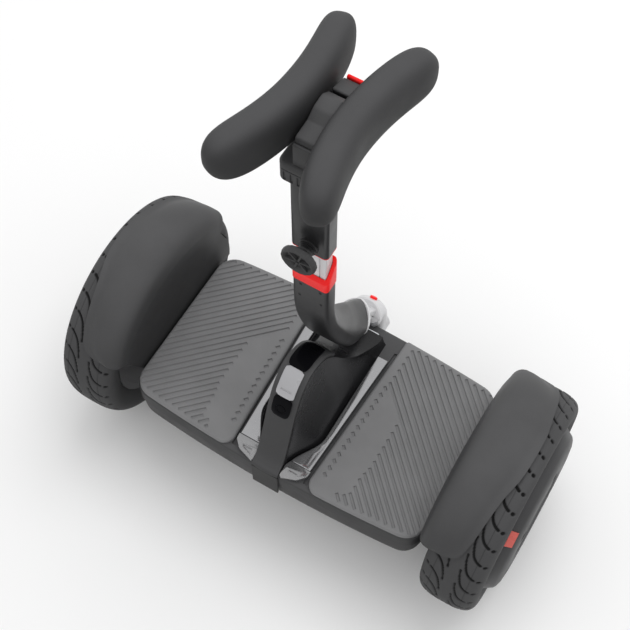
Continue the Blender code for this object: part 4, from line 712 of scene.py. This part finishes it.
def foot_mat(side_name, sign):
    """A rubber mat with slanting grooves round a bare patch and a column of dashes by the console."""
    front = DECK_FRONT - MAT_EDGE_INSET
    rear = DECK_REAR - MAT_EDGE_INSET
    outer = DECK_HALF_LENGTH - MAT_EDGE_INSET
    front_y = deck_edge(0.05, front)
    rear_y = -deck_edge(0.05, rear)
    stops = [0.075 + 0.0125 * k for k in range(7)]
    corners = [(mat_inner_edge(rear_y), rear_y, 0.014)]
    corners += [(x, -deck_edge(x, rear), 0) for x in stops]
    corners += [(outer, -deck_edge(outer, rear), DECK_CORNER), (outer, deck_edge(outer, front), DECK_CORNER)]
    corners += [(x, deck_edge(x, front), 0) for x in reversed(stops)]
    corners += [(mat_inner_edge(front_y), front_y, 0.004)]
    outline = [(sign * x, y) for x, y in filleted(corners)]
    base = DECK_TOP + GAP
    rings = [flat_ring(outline, base)]
    for k in range(6):
        turn = math.radians(90 * k / 5)
        inset = MAT_ROUNDING * (1 - math.cos(turn))
        rings.append(flat_ring(drawn_in(outline, inset), MAT_TOP - MAT_ROUNDING * (1 - math.sin(turn))))
    cuts = []
    xs = [0.060 + 0.0005 * i for i in range(250)]
    for k in range(-28, 22):
        total = 0.115 + GROOVE_START[side_name] + k * GROOVE_PITCH[side_name]
        kept = []
        for x in xs:
            y = total - x
            if x > GROOVE_OUTER_END or y > deck_edge(x, front) - GROOVE_EDGE_MARGIN:
                continue
            if y < GROOVE_EDGE_MARGIN - deck_edge(x, rear):
                continue
            limit = between(BARE_PATCH, y / MM) * MM if y < 0.040 else mat_inner_edge(y) + DASH_COLUMN
            if x >= limit:
                kept.append(x)
        if len(kept) > 3:
            cuts.append(groove_cutter(sign, (kept[0], total - kept[0]), (kept[-1], total - kept[-1])))
        x = (MAT_INNER_EDGE + DASH_COLUMN + MAT_SPLAY * total) / (1 + MAT_SPLAY)
        y = total - x
        if -0.088 < y < 0.038:
            reach = DASH_LENGTH / 2 / math.sqrt(2)
            cuts.append(groove_cutter(sign, (x - reach, y + reach), (x + reach, y - reach)))
    piece(side_name + "_grooved_mat", skin(rings), "base", "mat_rubber", [side_name + "_foot_mat"],
          cuts=[gathered(cuts)], sharp=35.0)


# Rear end of the strip's line as (x, y, corner radius) in mm, on one half: a separate lens with a slot
TAIL_CORNERS = ((20.2, -93.0, 0), (45.8, -93.0, 0.0), (45.4, -100.0, 5.0), (37.0, -108.5, 8.0),
                (19.0, -113.4, 1.5), (17.4, -112.0, 0.5), (17.6, -100.0, 0))
TAIL_SLOT_Y = -0.1030


def console_trim(side_name, sign):
    """The bright flat strip between the console's foot and the mat, and the lens that ends it behind."""
    stops = [TRIM_REAR + (TRIM_FRONT - TRIM_REAR) * k / 40 for k in range(41)]
    outer = [(mat_inner_edge(y) - CHANNEL, y) for y in stops]
    inner = [(console_half_width(y) + 0.0007, y) for y in reversed(stops)]
    outline = [(sign * x, y) for x, y in outer + inner]
    base = DECK_TOP + GAP
    rings = [flat_ring(outline, base), flat_ring(outline, TRIM_TOP)]
    piece(side_name + "_bright_trim", skin(rings), "base", "trim_grey", [side_name + "_console_trim"],
          bevel=0.0011)
    outline = [(sign * x, y) for x, y in filleted([(x * MM, y * MM, r * MM) for x, y, r in TAIL_CORNERS])]
    ring = []
    for x, y in outline:
        drop = 0.0030 * min(max((TAIL_SLOT_Y - y) / 0.010, 0.0), 1.0)
        ring.append((x, y, TRIM_TOP - drop))
    slot = box_shape((-0.005, -0.0006, -0.0010), (0.005, 0.0006, 0.0040))
    slot = moved(slot, Matrix.Translation((sign * 0.0290, TAIL_SLOT_Y, TRIM_TOP - 0.0010)))
    piece(side_name + "_tail_lens", skin([flat_ring(outline, base), ring]), "base", "tail_lens",
          [side_name + "_tail_light"], bevel=0.0009, cuts=[slot])


# ---------------------------------------------------------------- console

CONSOLE_HALF_WIDTH = 0.0385
CONSOLE_TAIL_HALF_WIDTH = 0.0180
CONSOLE_WALL = 0.0025
RIDGE_HALF_WIDTH = 0.0165
RIDGE_FRONT_HALF_WIDTH = 0.034
SPINE_THICKNESS = 0.003
SPINE_CROWN = 0.0014
# Side view of the console's crest as (y, height over the deck) in mm, from the rear edge forwards
CREST = ((-115.8, 1.1), (-114.6, 5.1), (-110.0, 9.0), (-103.5, 16.0), (-96.0, 30.5), (-87.0, 56.5),
         (-74.5, 92.5), (-62.0, 116.5), (-45.0, 130.0), (-26.0, 129.0), (-8.0, 116.5), (8.0, 93.5),
         (22.0, 68.5), (36.0, 47.5), (52.0, 32.0), (70.0, 22.5), (89.0, 18.5))
SPINE_END = 11.0                # places along the crest are counted in its points
CONSOLE_START = 2.5
PLATE_PLACE = (5.70, 6.58)
KEY_PLACE = (6.60, 8.08)
WINDOW_PLACE = (8.10, 10.25)
BUTTON_PLACE = 6.0
SLOT_PLACE = 6.95
DASH_HALF_WIDTH = 0.0108
DASH_THICKNESS = 0.0016
BUTTON_RADIUS = 0.0056
BUTTON_HOLE_RADIUS = 0.0059

crest_line = curve([(y * MM, DECK_TOP + rise * MM) for y, rise in CREST], 16 * (len(CREST) - 1) + 1)


def crest_frame(place):
    """A (y, z) point along the crest and the outward normal there."""
    run = min(max(place * 16, 0.0), len(crest_line) - 1.0)
    i = min(int(run), len(crest_line) - 2)
    point = crest_line[i].lerp(crest_line[i + 1], run - i)
    along = (crest_line[min(i + 2, len(crest_line) - 1)] - crest_line[max(i - 1, 0)]).normalized()
    return point, Vector((-along[1], along[0]))


def on_crest(place, x, rise):
    point, normal = crest_frame(place)
    return (x, point[0] + normal[0] * rise, point[1] + normal[1] * rise)


def console_half_width(y):
    """The console's foot: full width at the feet, drawn in behind towards the rear band."""
    share = min(max((y + 0.100) / 0.050, 0.0), 1.0)
    blend = share * share * (3 - 2 * share)
    return CONSOLE_TAIL_HALF_WIDTH + (CONSOLE_HALF_WIDTH - CONSOLE_TAIL_HALF_WIDTH) * blend


def ridge_half_width(y):
    """The console's top: narrow over the crest, spread in front under the bar."""
    share = min(max((y + 0.005) / 0.085, 0.0), 1.0)
    return RIDGE_HALF_WIDTH + (RIDGE_FRONT_HALF_WIDTH - RIDGE_HALF_WIDTH) * share ** 1.5


def console_arch(place, shrink, foot_height):
    """A closed section across the console: flat ridge, then hollow flanks down to the deck."""
    point, normal = crest_frame(place)
    y, top = point - normal * (SPINE_THICKNESS + GAP)
    top -= shrink
    ridge = ridge_half_width(y) - shrink
    foot = max(console_half_width(y) - shrink, ridge + 0.0004)
    half = [(ridge * 0.4, top + 0.0004), (ridge * 0.8, top)]
    drop = top - 0.0008 - foot_height
    for k in range(20):
        share = k / 19
        half.append((ridge + (foot - ridge) * share ** 2.2, foot_height + drop * (1 - share)))
    return [(-x, y, z) for x, z in reversed(half)] + [(0.0, y, top + 0.0006)] + [(x, y, z) for x, z in half]


def console():
    """The hump between the mats, open below and hollow."""
    base = DECK_TOP + GAP
    last = float(len(CREST) - 1)
    places = [CONSOLE_START + (last - CONSOLE_START) * k / 90 for k in range(91)]
    outer = [console_arch(place, 0.0, base) for place in places]
    inner = [console_arch(place, CONSOLE_WALL, base - 0.004) for place in places[8:]]
    point, normal = crest_frame(last)
    front_wall = (point - normal * (SPINE_THICKNESS + GAP))[0] - CONSOLE_WALL
    hollow = [ring for ring in inner if ring[0][1] < front_wall - 0.0005]
    hollow.append([(x, front_wall, z) for x, _, z in inner[-1]])
    piece("console_hump", skin(outer), "base", "console_black", ["console_shell"], cuts=[skin(hollow)],
          sharp=45.0)


def crest_plate(name, start, end, half_width, base, thickness, crown, look, swaps, cuts=(), bevel=0.0005,
                corner=0.0):
    """A strip bent along the crest, with rounded corners; base is its underside's height over the line."""
    count = max(int((end - start) * 12), 8)
    length = end - start
    rings = []
    for k in range(count + 1):
        share = k / count
        place = start + length * share
        near_end = min(share, 1 - share) * length
        half = half_width
        if corner > 0 and near_end < corner:
            half -= 0.004 * (1 - math.sqrt(max(1 - (1 - near_end / corner) ** 2, 0.0)))
        section = [(-half, base), (-half, base + thickness), (-half * 0.55, base + thickness + crown * 0.7),
                   (0, base + thickness + crown), (half * 0.55, base + thickness + crown * 0.7),
                   (half, base + thickness), (half, base), (0, base + crown)]
        rings.append([on_crest(place, x, rise) for x, rise in section])
    piece(name, skin(rings), "base", look, swaps, cuts=cuts, bevel=bevel, bevel_angle=40.0)


def crest_seat(place, rise=0.0):
    """A frame on the crest, or a rise above it, with its Z along the outward normal."""
    normal = crest_frame(place)[1]
    turn = Vector((0, normal[0], normal[1])).to_track_quat("Z", "Y").to_matrix().to_4x4()
    return Matrix.Translation(on_crest(place, 0, rise)) @ turn


def button_hole():
    return moved(rod_shape("Z", (0, 0, 0), -0.01, 0.01, BUTTON_HOLE_RADIUS), crest_seat(BUTTON_PLACE))


def dash():
    """Spine cover with the display window, key panel and power button on it."""
    base = SPINE_CROWN + GAP
    low = base - 0.0001
    crest_plate("spine_cover", 0, SPINE_END, RIDGE_HALF_WIDTH, -SPINE_THICKNESS, SPINE_THICKNESS - 0.0002,
                SPINE_CROWN, "satin_black", ["console_spine"], cuts=[button_hole()], bevel=0.0008)
    crest_plate("button_surround", *PLATE_PLACE, DASH_HALF_WIDTH, low, DASH_THICKNESS, 0.0003, "gloss_black",
                ["button_plate"], cuts=[button_hole()], corner=0.25)
    slot = box_shape((-0.0062, -0.0012, -0.0004), (0.0062, 0.0012, 0.0040))
    slot = moved(slot, crest_seat(SLOT_PLACE, 0.0028))
    crest_plate("key_cover", *KEY_PLACE, DASH_HALF_WIDTH, low, DASH_THICKNESS, 0.0003, "key_silver",
                ["key_panel"], corner=0.15, cuts=[slot])
    crest_plate("display_glass", *WINDOW_PLACE, DASH_HALF_WIDTH + 0.0012, low, DASH_THICKNESS, 0.0003,
                "gloss_black", ["display_window"], corner=0.5)
    top = base + DASH_THICKNESS + 0.0006
    profile = [(top - 0.003, 0), (top - 0.003, BUTTON_RADIUS), (top - 0.0004, BUTTON_RADIUS),
               (top, BUTTON_RADIUS - 0.0004), (top, BUTTON_RADIUS - 0.0011),
               (top - 0.0006, BUTTON_RADIUS - 0.0016), (top - 0.0004, 0)]
    work = moved(turned("Z", (0, 0, 0), profile, 48), crest_seat(BUTTON_PLACE))
    piece("ring_button", work, "power_key", "gloss_black", ["power_button"])


for side_name, sign in SIDES:
    foot_mat(side_name, sign)
    console_trim(side_name, sign)
deck_shells()
console()
dash()


# ---------------------------------------------------------------- steering bar

STEM_CORNER = 0.0042
STEM_WALL = 0.0026
NECK_END = (ARM_BACK - 0.0340, STEER_HEIGHT + 0.0860)
NECK_SLOPE_DEG = 54.0
NECK_END_HALF_WIDTH = 0.0215
NECK_CROWN = 0.0225
NECK_BELLY = 0.0160
NECK_BELLY_CORNER = 0.0090
NECK_WIDEST = -0.48
NECK_ARCH = 1.33
RING_STEPS = 8                  # per rounded corner
# Side view of the neck: (y, depth below its top) on its rear line and its front line in mm, and how
# far its section has changed from the stem's to the domed one
NECK_LINES = (((-17.5, 0.0), (1.5, 0.0), 0.0), ((-17.5, 32.2), (1.5, 31.2), 0.0),
              ((-15.5, 65.2), (3.0, 60.2), 0.1), ((-8.0, 101.2), (12.0, 93.2), 0.3),
              ((5.0, 142.2), (32.0, 125.2), 0.6), ((22.0, 179.2), (56.0, 152.7), 0.9),
              ((39.0, 208.2), (76.2, 178.6), 1.0))
DIMPLES = ((-9.4, 412.0), (-10.6, 390.1), (12.2, 412.5), (13.1, 390.1))     # x and z in mm
DIMPLE_RADIUS = 0.0017
INNER_TUBE_HALF_DEPTH = 0.0065
KNOB_CENTRE = (0, STEM_Y - OUTER_DEPTH, (knob_low.z + knob_high.z) / 2)     # on the tube's rear face


def along_neck(distance, rise):
    """A (y, z) place by its distance past the neck's end and its rise over the neck's axis."""
    slope = math.radians(NECK_SLOPE_DEG)
    forward = Vector((math.cos(slope), -math.sin(slope)))
    upward = Vector((math.sin(slope), math.cos(slope)))
    return Vector(NECK_END) + forward * distance + upward * rise


def ring_across(rear, front, half_width, corner, dome=0.0, arch=NECK_ARCH):
    """A rounded section across a side-view line, whose front half can swell into a dome."""
    rear, front = Vector(rear), Vector(front)
    across = (front - rear).normalized()
    half = (front - rear).length / 2
    middle = (front + rear) / 2
    outline = rounded_rectangle(half_width, half, corner, RING_STEPS)
    arc = len(outline) // 2
    ring = []
    for k, (x, v) in enumerate(outline):
        if k < arc:
            turn = math.pi * k / (arc - 1)
            reach = math.copysign(abs(math.cos(turn)) ** arch, math.cos(turn))
            x += dome * (half_width * reach - x)
            v += dome * (NECK_WIDEST * half + (1 - NECK_WIDEST) * half * abs(math.sin(turn)) ** arch - v)
        ring.append((x, middle[0] + across[0] * v, middle[1] + across[1] * v))
    return ring


def neck():
    """The casing that bends up from the arm, domed in front, with four dimples behind."""
    ends = [(rear[0] * MM, NECK_TOP - rear[1] * MM, front[0] * MM, NECK_TOP - front[1] * MM, growth)
            for rear, front, growth in NECK_LINES]
    ends.append((*along_neck(0.0, -NECK_BELLY), *along_neck(0.0, NECK_CROWN), 1.0))
    sides = curve([Vector((a, b, growth)) for a, b, _, _, growth in ends], 48)
    fronts = curve([Vector((c, d, 0.0)) for _, _, c, d, _ in ends], 48)
    layers = []
    for depth in (0.0, STEM_WALL):
        rings = []
        for rear, front in zip(sides, fronts):
            growth = min(max(rear[2], 0.0), 1.0)
            low, high = Vector(rear[:2]), Vector(front[:2])
            across = (high - low).normalized() * depth
            half_width = STEM_HALF_WIDTH + growth * (NECK_END_HALF_WIDTH - STEM_HALF_WIDTH)
            corner = STEM_CORNER + growth * (NECK_BELLY_CORNER - STEM_CORNER)
            rings.append(ring_across(low + across, high - across, half_width - depth,
                                     max(corner - depth, 0.001), growth))
        layers.append(rings)
    dimples = []
    for x, z in DIMPLES:
        ball = bmesh.new()
        bmesh.ops.create_uvsphere(ball, u_segments=24, v_segments=16, radius=DIMPLE_RADIUS)
        shape = Matrix.Diagonal((1.0, 0.55, 1.35, 1.0))
        dimples.append(moved(ball, Matrix.Translation((x * MM, neck_low.y, z * MM)) @ shape))
    piece("neck_tube", skin(layers[0] + list(reversed(layers[1])), loop=True), "steering", "black_alloy",
          ["neck_casing"], cuts=[gathered(dimples)], sharp=40.0)


def stem_ring(z, half_width, half_depth, radius):
    return [(x, STEM_Y + y, z) for x, y in rounded_rectangle(half_width, half_depth, radius)]


def collar():
    """The red ring on the neck's top edge, low at the back and high in front."""
    rear_top = NECK_TOP + 0.0163
    slope = (collar_high.z - rear_top) / (2 * STEM_HALF_DEPTH)

    def ring(half_width, half_depth, radius, level, lift=0.0):
        points = []
        for x, y in rounded_rectangle(half_width, half_depth, radius):
            z = rear_top + slope * (y + STEM_HALF_DEPTH) + lift if level is None else level
            points.append((x, STEM_Y + y, min(z, collar_high.z)))
        return points

    outer = (collar_high.x, STEM_HALF_DEPTH + 0.0006, STEM_CORNER)
    inner = (inner_high.x + GAP, INNER_TUBE_HALF_DEPTH + GAP, STEM_CORNER - STEM_WALL)
    rings = [ring(*outer, collar_low.z), ring(*outer, None, -0.0010), ring(*inner, None, 0.0),
             ring(*inner, collar_low.z)]
    piece("red_collar", skin(rings, loop=True), "steering", "signal_red", ["clamp_collar"], bevel=0.0006)


def tubes():
    """Silver inner tube with a fine groove behind, and the black upper tube with its thin red rim."""
    def tube(name, low, high, half_width, half_depth, radius, wall, body, look, swaps, cuts=(), joins=()):
        rings = [stem_ring(z, half_width, half_depth, radius) for z in (low, high)]
        rings += [stem_ring(z, half_width - wall, half_depth - wall, max(radius - wall, 0.001))
                  for z in (high, low)]
        piece(name, skin(rings, loop=True), body, look, swaps, cuts=cuts, joins=joins, bevel=0.0004,
              bevel_angle=60.0)

    groove = box_shape((0.0090, STEM_Y - 0.0075, inner_low.z - 0.001),
                       (0.0101, STEM_Y - 0.0054, inner_high.z + 0.001))
    tube("silver_tube", inner_low.z, inner_high.z, inner_high.x, INNER_TUBE_HALF_DEPTH,
         STEM_CORNER - STEM_WALL, 0.0018, "steering", "satin_silver", ["inner_tube"], cuts=[groove])
    profile = [(0.0012, 0), (0.0012, 0.0100), (-0.0010, 0.0100), (-0.0018, 0.0092), (-0.0031, 0.0092),
               (-0.0038, 0.0080), (-0.0052, 0.0080), (-0.0058, 0.0074), (-0.0070, 0.0074), (-0.0070, 0)]
    hole = rod_shape("Y", KNOB_CENTRE, STEM_WALL + 0.001, -0.009, 0.0039)
    section = (STEM_HALF_WIDTH, OUTER_DEPTH, STEM_CORNER, STEM_WALL)
    tube("black_tube", outer_low.z, outer_high.z, *section, "knee_bar", "black_alloy", ["upper_tube"],
         cuts=[hole], joins=[turned("Y", KNOB_CENTRE, profile, 64)])
    tube("red_rim", red_rim_low.z, red_rim_high.z, *section, "knee_bar", "signal_red", ["upper_tube_rim"])


KNOB_RADIUS = 0.0180
KNOB_SPOKES = 6


def knob():
    """The star knob: a rim with shallow lobes, a dished face with radial ribs, and its stud."""
    start = -0.0070 - GAP
    disc = start - 0.0060
    profile = [(disc, 0), (disc, 0.0140), (disc - 0.0008, 0.0172), (disc - 0.0020, KNOB_RADIUS),
               (disc - 0.0052, KNOB_RADIUS), (disc - 0.0066, 0.0174), (disc - 0.0074, 0.0164),
               (disc - 0.0074, 0.0150), (disc - 0.0062, 0.0138), (disc - 0.0040, 0.0120),
               (disc - 0.0036, 0.0060), (disc - 0.0044, 0)]
    work = turned("Y", KNOB_CENTRE, profile, 144, lobes=18, lobe_depth=0.02)
    stem = [(STEM_WALL + 0.0001, 0), (STEM_WALL + 0.0001, 0.0035), (start, 0.0035), (start, 0.0080),
            (start - 0.0018, 0.0080), (start - 0.0024, 0.0070), (start - 0.0036, 0.0070),
            (start - 0.0042, 0.0080), (disc - 0.002, 0.0080), (disc - 0.002, 0)]
    ribs = []
    face = Matrix.Translation((0, KNOB_CENTRE[1] + disc - 0.0052, KNOB_CENTRE[2]))
    for k in range(KNOB_SPOKES):
        bar = box_shape((-0.0009, -0.0012, 0.0018), (0.0009, 0.0016, 0.0146))
        turn = Matrix.Rotation(2 * math.pi * k / KNOB_SPOKES + 0.3, 4, "Y")
        ribs.append(moved(bar, face @ turn))
    piece("star_knob", work, "knob", "satin_black", ["clamp_knob"],
          joins=[turned("Y", KNOB_CENTRE, stem, 48), gathered(ribs)], bevel=0.0003, sharp=30.0)


RELEASE_PLACE = 0.0600
ARM_CROWN = 0.0196
ARM_HALF_WIDTH = 0.0205
ARM_CORNER = 0.0090


def arm():
    """The cast arm from the steering shaft in front of the deck up to the neck's lower end."""
    width = ARM_HALF_WIDTH
    front = ARM_BACK + 0.0235
    knee = STEER_HEIGHT + 0.0410
    foot = STEER_HEIGHT + 0.0160

    def section(distance, low, high, half_width, corner, dome=0.0):
        return ring_across(along_neck(distance, low), along_neck(distance, high), half_width, corner, dome,
                           arch=1.1)

    body = [section(0.0440, -0.0045, ARM_CROWN - 0.0016, width - 0.0012, 0.0080, 0.85),
            section(0.0450, -0.0045, ARM_CROWN, width, ARM_CORNER, 0.85),
            section(0.0560, -0.0100, ARM_CROWN, width, ARM_CORNER, 0.80)]
    bends = (((ARM_BACK - 0.0045, knee), along_neck(RELEASE_PLACE + 0.0100, ARM_CROWN), 0.60),
             ((ARM_BACK - 0.0012, knee - 0.0060), (front - 0.0012, knee - 0.0010), 0.35),
             ((ARM_BACK, knee - 0.0110), (front - 0.0005, knee - 0.0080), 0.15),
             ((ARM_BACK, foot), (front, foot + 0.0020), 0.0),
             ((ARM_BACK, STEER_HEIGHT), (front, STEER_HEIGHT), 0.0))
    body += [ring_across(low, high, width, ARM_CORNER, dome) for low, high, dome in bends]
    waist = [section(0.0040, -0.0035, 0.0120, 0.0125, 0.003), section(0.0470, -0.0015, 0.0120, 0.0125, 0.003)]
    flange = [section(place, -NECK_BELLY + inset, NECK_CROWN - inset, NECK_END_HALF_WIDTH - inset,
                      NECK_BELLY_CORNER, 1.0)
              for place, inset in ((GAP, 0.0004), (0.0010, 0.0), (0.0060, 0.0), (0.0070, 0.0010))]
    spigot = [section(place, -0.0110, 0.0080, 0.0120, 0.005) for place in (-0.016, 0.0020)]
    centre = (0, 0, STEER_HEIGHT)
    radius = width + 0.0010
    boss_back = ARM_BACK - 0.0006
    profile = [(boss_back, 0), (boss_back, radius), (arm_high.y - 0.002, radius),
               (arm_high.y, radius - 0.002), (arm_high.y, 0.0120), (arm_high.y - 0.0010, 0.0110),
               (arm_high.y - 0.0010, 0)]
    place = along_neck(RELEASE_PLACE, ARM_CROWN)
    tilt = Matrix.Rotation(-math.radians(NECK_SLOPE_DEG), 4, "X")
    seat = Matrix.Translation((0, place[0], place[1])) @ tilt
    pocket = moved(rod_shape("Z", (0, 0, 0), -0.011, 0.010, 0.0049), seat)
    bore = rod_shape("Y", centre, ARM_BACK - 0.005, ARM_BACK + 0.020, 0.0083)
    piece("cast_arm", skin(body), "steering", "satin_silver", ["steering_arm"],
          joins=[skin(waist), skin(flange), skin(spigot), turned("Y", centre, profile, 96)],
          cuts=[pocket, bore], bevel=0.0005, sharp=32.0)
    low = -0.007
    button = [(low, 0), (low, 0.0045), (0.0018, 0.0045), (0.0023, 0.0042), (0.0025, 0.0036), (0.0022, 0)]
    piece("red_latch_button", moved(turned("Z", (0, 0, 0), button, 48), seat), "arm_latch", "signal_red",
          ["release_button"])


neck()
collar()
tubes()
knob()
arm()


# ---------------------------------------------------------------- head and knee pads

HEAD_PITCH = 0.18
PAD_MIDDLE = 0.0120
PAD_HALF_LENGTH = 0.1020
PAD_OFFSET = 0.0268
PAD_HALF_THICKNESS = 0.0168
PAD_HALF_HEIGHT = 0.0275
PAD_FRONT_FLARE = 0.0170
PAD_REAR_FLARE = 0.0225
PAD_POWER = 0.72                # of its section: 1 is an ellipse, less is squarer
CORE_TOP = shoulder_high.z + 0.0215
PAD_HEIGHT = CORE_TOP + 0.0110
CORE_HALF_WIDTH = core_high.x
RIB_COUNT = 6


def head():
    """Ribbed shoulder on the tube's top, core between the pads, arched grip, top plate and red tab."""
    wall = 0.0040
    depth = OUTER_DEPTH
    low, high = shoulder_low.z, shoulder_high.z
    wide, deep = shoulder_high.x, depth + wall + 0.0065
    outer = [stem_ring(low, STEM_HALF_WIDTH + 0.0016, depth + 0.0016, STEM_CORNER + 0.0012),
             stem_ring(low + 0.0045, wide - 0.0016, deep - 0.0036, 0.0066),
             stem_ring(low + 0.0080, wide, deep, 0.0072), stem_ring(high - 0.0035, wide, deep, 0.0072),
             stem_ring(high - 0.0010, wide - 0.0012, deep - 0.0012, 0.0068),
             stem_ring(high, wide - 0.003, deep - 0.003, 0.0062)]
    ledge = outer_high.z + GAP
    inner = [stem_ring(high - wall, STEM_HALF_WIDTH - STEM_WALL, depth - STEM_WALL, 0.0024),
             stem_ring(ledge, STEM_HALF_WIDTH - STEM_WALL, depth - STEM_WALL, 0.0024),
             stem_ring(ledge, STEM_HALF_WIDTH + GAP, depth + GAP, STEM_CORNER),
             stem_ring(low, STEM_HALF_WIDTH + GAP, depth + GAP, STEM_CORNER)]
    notches = []
    for k in range(RIB_COUNT):
        x = (k - (RIB_COUNT - 1) / 2) * 0.0066
        notches.append(box_shape((x - 0.0013, STEM_Y - deep - 0.002, low + 0.0085),
                                 (x + 0.0013, STEM_Y - deep + 0.0012, low + 0.0205)))
    notches.append(box_shape((-wide - 0.01, STEM_Y - deep - 0.002, low + 0.0225),
                             (wide + 0.01, STEM_Y - deep + 0.0008, low + 0.0235)))
    piece("ribbed_shoulder", skin(list(reversed(outer)) + list(reversed(inner))), "knee_bar", "satin_black",
          ["head_shoulder"], cuts=[gathered(notches)], sharp=32.0, bevel=0.0003)
    base = high + GAP

    def slab(name, corners, half_width, look, swaps, body="knee_bar", bevel=0.0009):
        outline = filleted([(y, z - HEAD_PITCH * (y - PAD_MIDDLE) if z > base + 0.001 else z, radius)
                            for y, z, radius in corners], 8)
        work = skin([side_ring(outline, -half_width), side_ring(outline, half_width)])
        piece(name, work, body, look, swaps, bevel=bevel)

    back, end = core_low.y, core_high.y
    slab("core_block", [(back, base, 0), (end, base, 0), (end, CORE_TOP, 0.0015), (back, CORE_TOP, 0.0015)],
         CORE_HALF_WIDTH, "satin_black", ["head_core"], bevel=0.0004)
    seat = CORE_TOP + GAP
    grip_end = end - 0.0260
    top = CORE_TOP + 0.0240
    slab("arched_grip", [(back + 0.002, seat, 0), (grip_end, seat, 0), (grip_end, top - 0.0080, 0.003),
                         (grip_end - 0.0100, top - 0.0010, 0.010), (grip_end - 0.0240, top - 0.0050, 0.010),
                         (grip_end - 0.0340, top - 0.0130, 0.004), (back + 0.0040, top - 0.0175, 0.003)],
         CORE_HALF_WIDTH, "satin_black", ["grip_bridge"], bevel=0.0014)
    slab("front_plate", [(end - 0.0200, seat, 0), (end, seat, 0), (end, CORE_TOP + 0.0100, 0.002),
                         (end - 0.0200, CORE_TOP + 0.0140, 0.002)],
         CORE_HALF_WIDTH, "satin_black", ["top_plate"])
    tab_back = end + GAP
    tab_front = tab_back + 0.0038
    slab("red_pad_tab", [(tab_back, CORE_TOP - 0.0060, 0.001), (tab_front, CORE_TOP - 0.0060, 0.001),
                         (tab_front, CORE_TOP + 0.0125, 0.0016), (tab_back, CORE_TOP + 0.0125, 0.0016)],
         tab_high.x, "signal_red", ["pad_release_tab"], body="pad_latch", bevel=0.0007)


def knee_pad(side_name, sign):
    """A crowned foam pad that bends away from the core at both ends."""
    stations, sides = 81, 64
    rings = []
    for k in range(stations):
        share = -math.cos(math.pi * k / (stations - 1))
        flare = PAD_FRONT_FLARE if share > 0 else PAD_REAR_FLARE
        y = PAD_MIDDLE + PAD_HALF_LENGTH * share
        x = PAD_OFFSET + flare * share * share
        slope = 2 * flare * share / PAD_HALF_LENGTH
        along = Vector((slope, 1.0)).normalized()
        across = Vector((along[1], -along[0]))
        end = max(1 - abs(share) ** 9, 0.0) ** 0.5
        height = PAD_HEIGHT - HEAD_PITCH * (y - PAD_MIDDLE)
        if k in (0, stations - 1):
            rings.append([(sign * x, y, height)])
            continue
        ring = []
        for j in range(sides):
            turn = 2 * math.pi * j / sides
            u = math.copysign(abs(math.cos(turn)) ** PAD_POWER, math.cos(turn)) * PAD_HALF_THICKNESS * end
            v = math.copysign(abs(math.sin(turn)) ** PAD_POWER, math.sin(turn)) * PAD_HALF_HEIGHT * end
            ring.append((sign * (x + across[0] * u), y + across[1] * u, height + v))
        rings.append(ring)
    made = piece(side_name + "_foam_pad", skin(rings), "knee_bar", "pad_foam", [side_name + "_knee_pad"],
                 sharp=180.0)


head()
for side_name, sign in SIDES:
    knee_pad(side_name, sign)


# ---------------------------------------------------------------- CAD pieces kept as they are

for row in frame["record"]["subparts"]:
    node = frame["nodes"][row["node"]]
    if not node.hide_render:
        node.data.materials.clear()
        node.data.materials.append(looks[row["material_slot"]])


# ---------------------------------------------------------------- floor, light and camera

def studio():
    """A pale floor under a soft sky that is brighter overhead, with one large lamp above."""
    scene = bpy.context.scene
    work = bmesh.new()
    bmesh.ops.create_grid(work, x_segments=1, y_segments=1, size=30.0)
    floor = plain_object("floor", work)
    look = bpy.data.materials.new("floor")
    look.use_nodes = True
    nodes = look.node_tree.nodes
    links = look.node_tree.links
    shader = nodes["Principled BSDF"]
    place = nodes.new("ShaderNodeTexCoord")
    noise = nodes.new("ShaderNodeTexNoise")
    noise.inputs["Scale"].default_value = 3.0
    links.new(place.outputs["Object"], noise.inputs["Vector"])
    tint = mixed(look.node_tree, noise.outputs["Fac"], (0.90, 0.90, 0.90), (0.92, 0.92, 0.92))
    links.new(tint, shader.inputs["Base Color"])
    shader.inputs["Roughness"].default_value = 0.9
    shader.inputs["Specular IOR Level"].default_value = 0.0
    floor.data.materials.append(look)

    world = bpy.data.worlds.new("sky")
    scene.world = world
    world.use_nodes = True
    nodes = world.node_tree.nodes
    links = world.node_tree.links
    place = nodes.new("ShaderNodeTexCoord")
    parts = nodes.new("ShaderNodeSeparateXYZ")
    links.new(place.outputs["Generated"], parts.inputs[0])
    strength = ranged(world.node_tree, parts.outputs["Z"], 0.62, 0.98, 0.0, 1.0)
    links.new(strength, nodes["Background"].inputs["Strength"])
    nodes["Background"].inputs["Color"].default_value = (1.0, 1.0, 1.0, 1.0)

    data = bpy.data.lights.new("soft_box", "AREA")
    data.shape = "DISK"
    data.size = 1.8
    data.energy = 24.0
    lamp = bpy.data.objects.new("soft_box", data)
    lamp.location = (0.2, 0.8, 2.6)
    lamp.rotation_euler = (-lamp.location).to_track_quat("-Z", "Y").to_euler()
    lamp.visible_glossy = False
    scene.collection.objects.link(lamp)

    view = bpy.data.cameras.new("camera")
    view.sensor_width = 36.0
    view.lens = 74.286
    camera = bpy.data.objects.new("camera", view)
    camera.location = (0.3137, -0.5326, 1.4919)
    camera.rotation_euler = (math.radians(27.986), 0.0, math.radians(30.826))
    scene.collection.objects.link(camera)
    scene.camera = camera
    scene.view_settings.view_transform = "Standard"


studio()
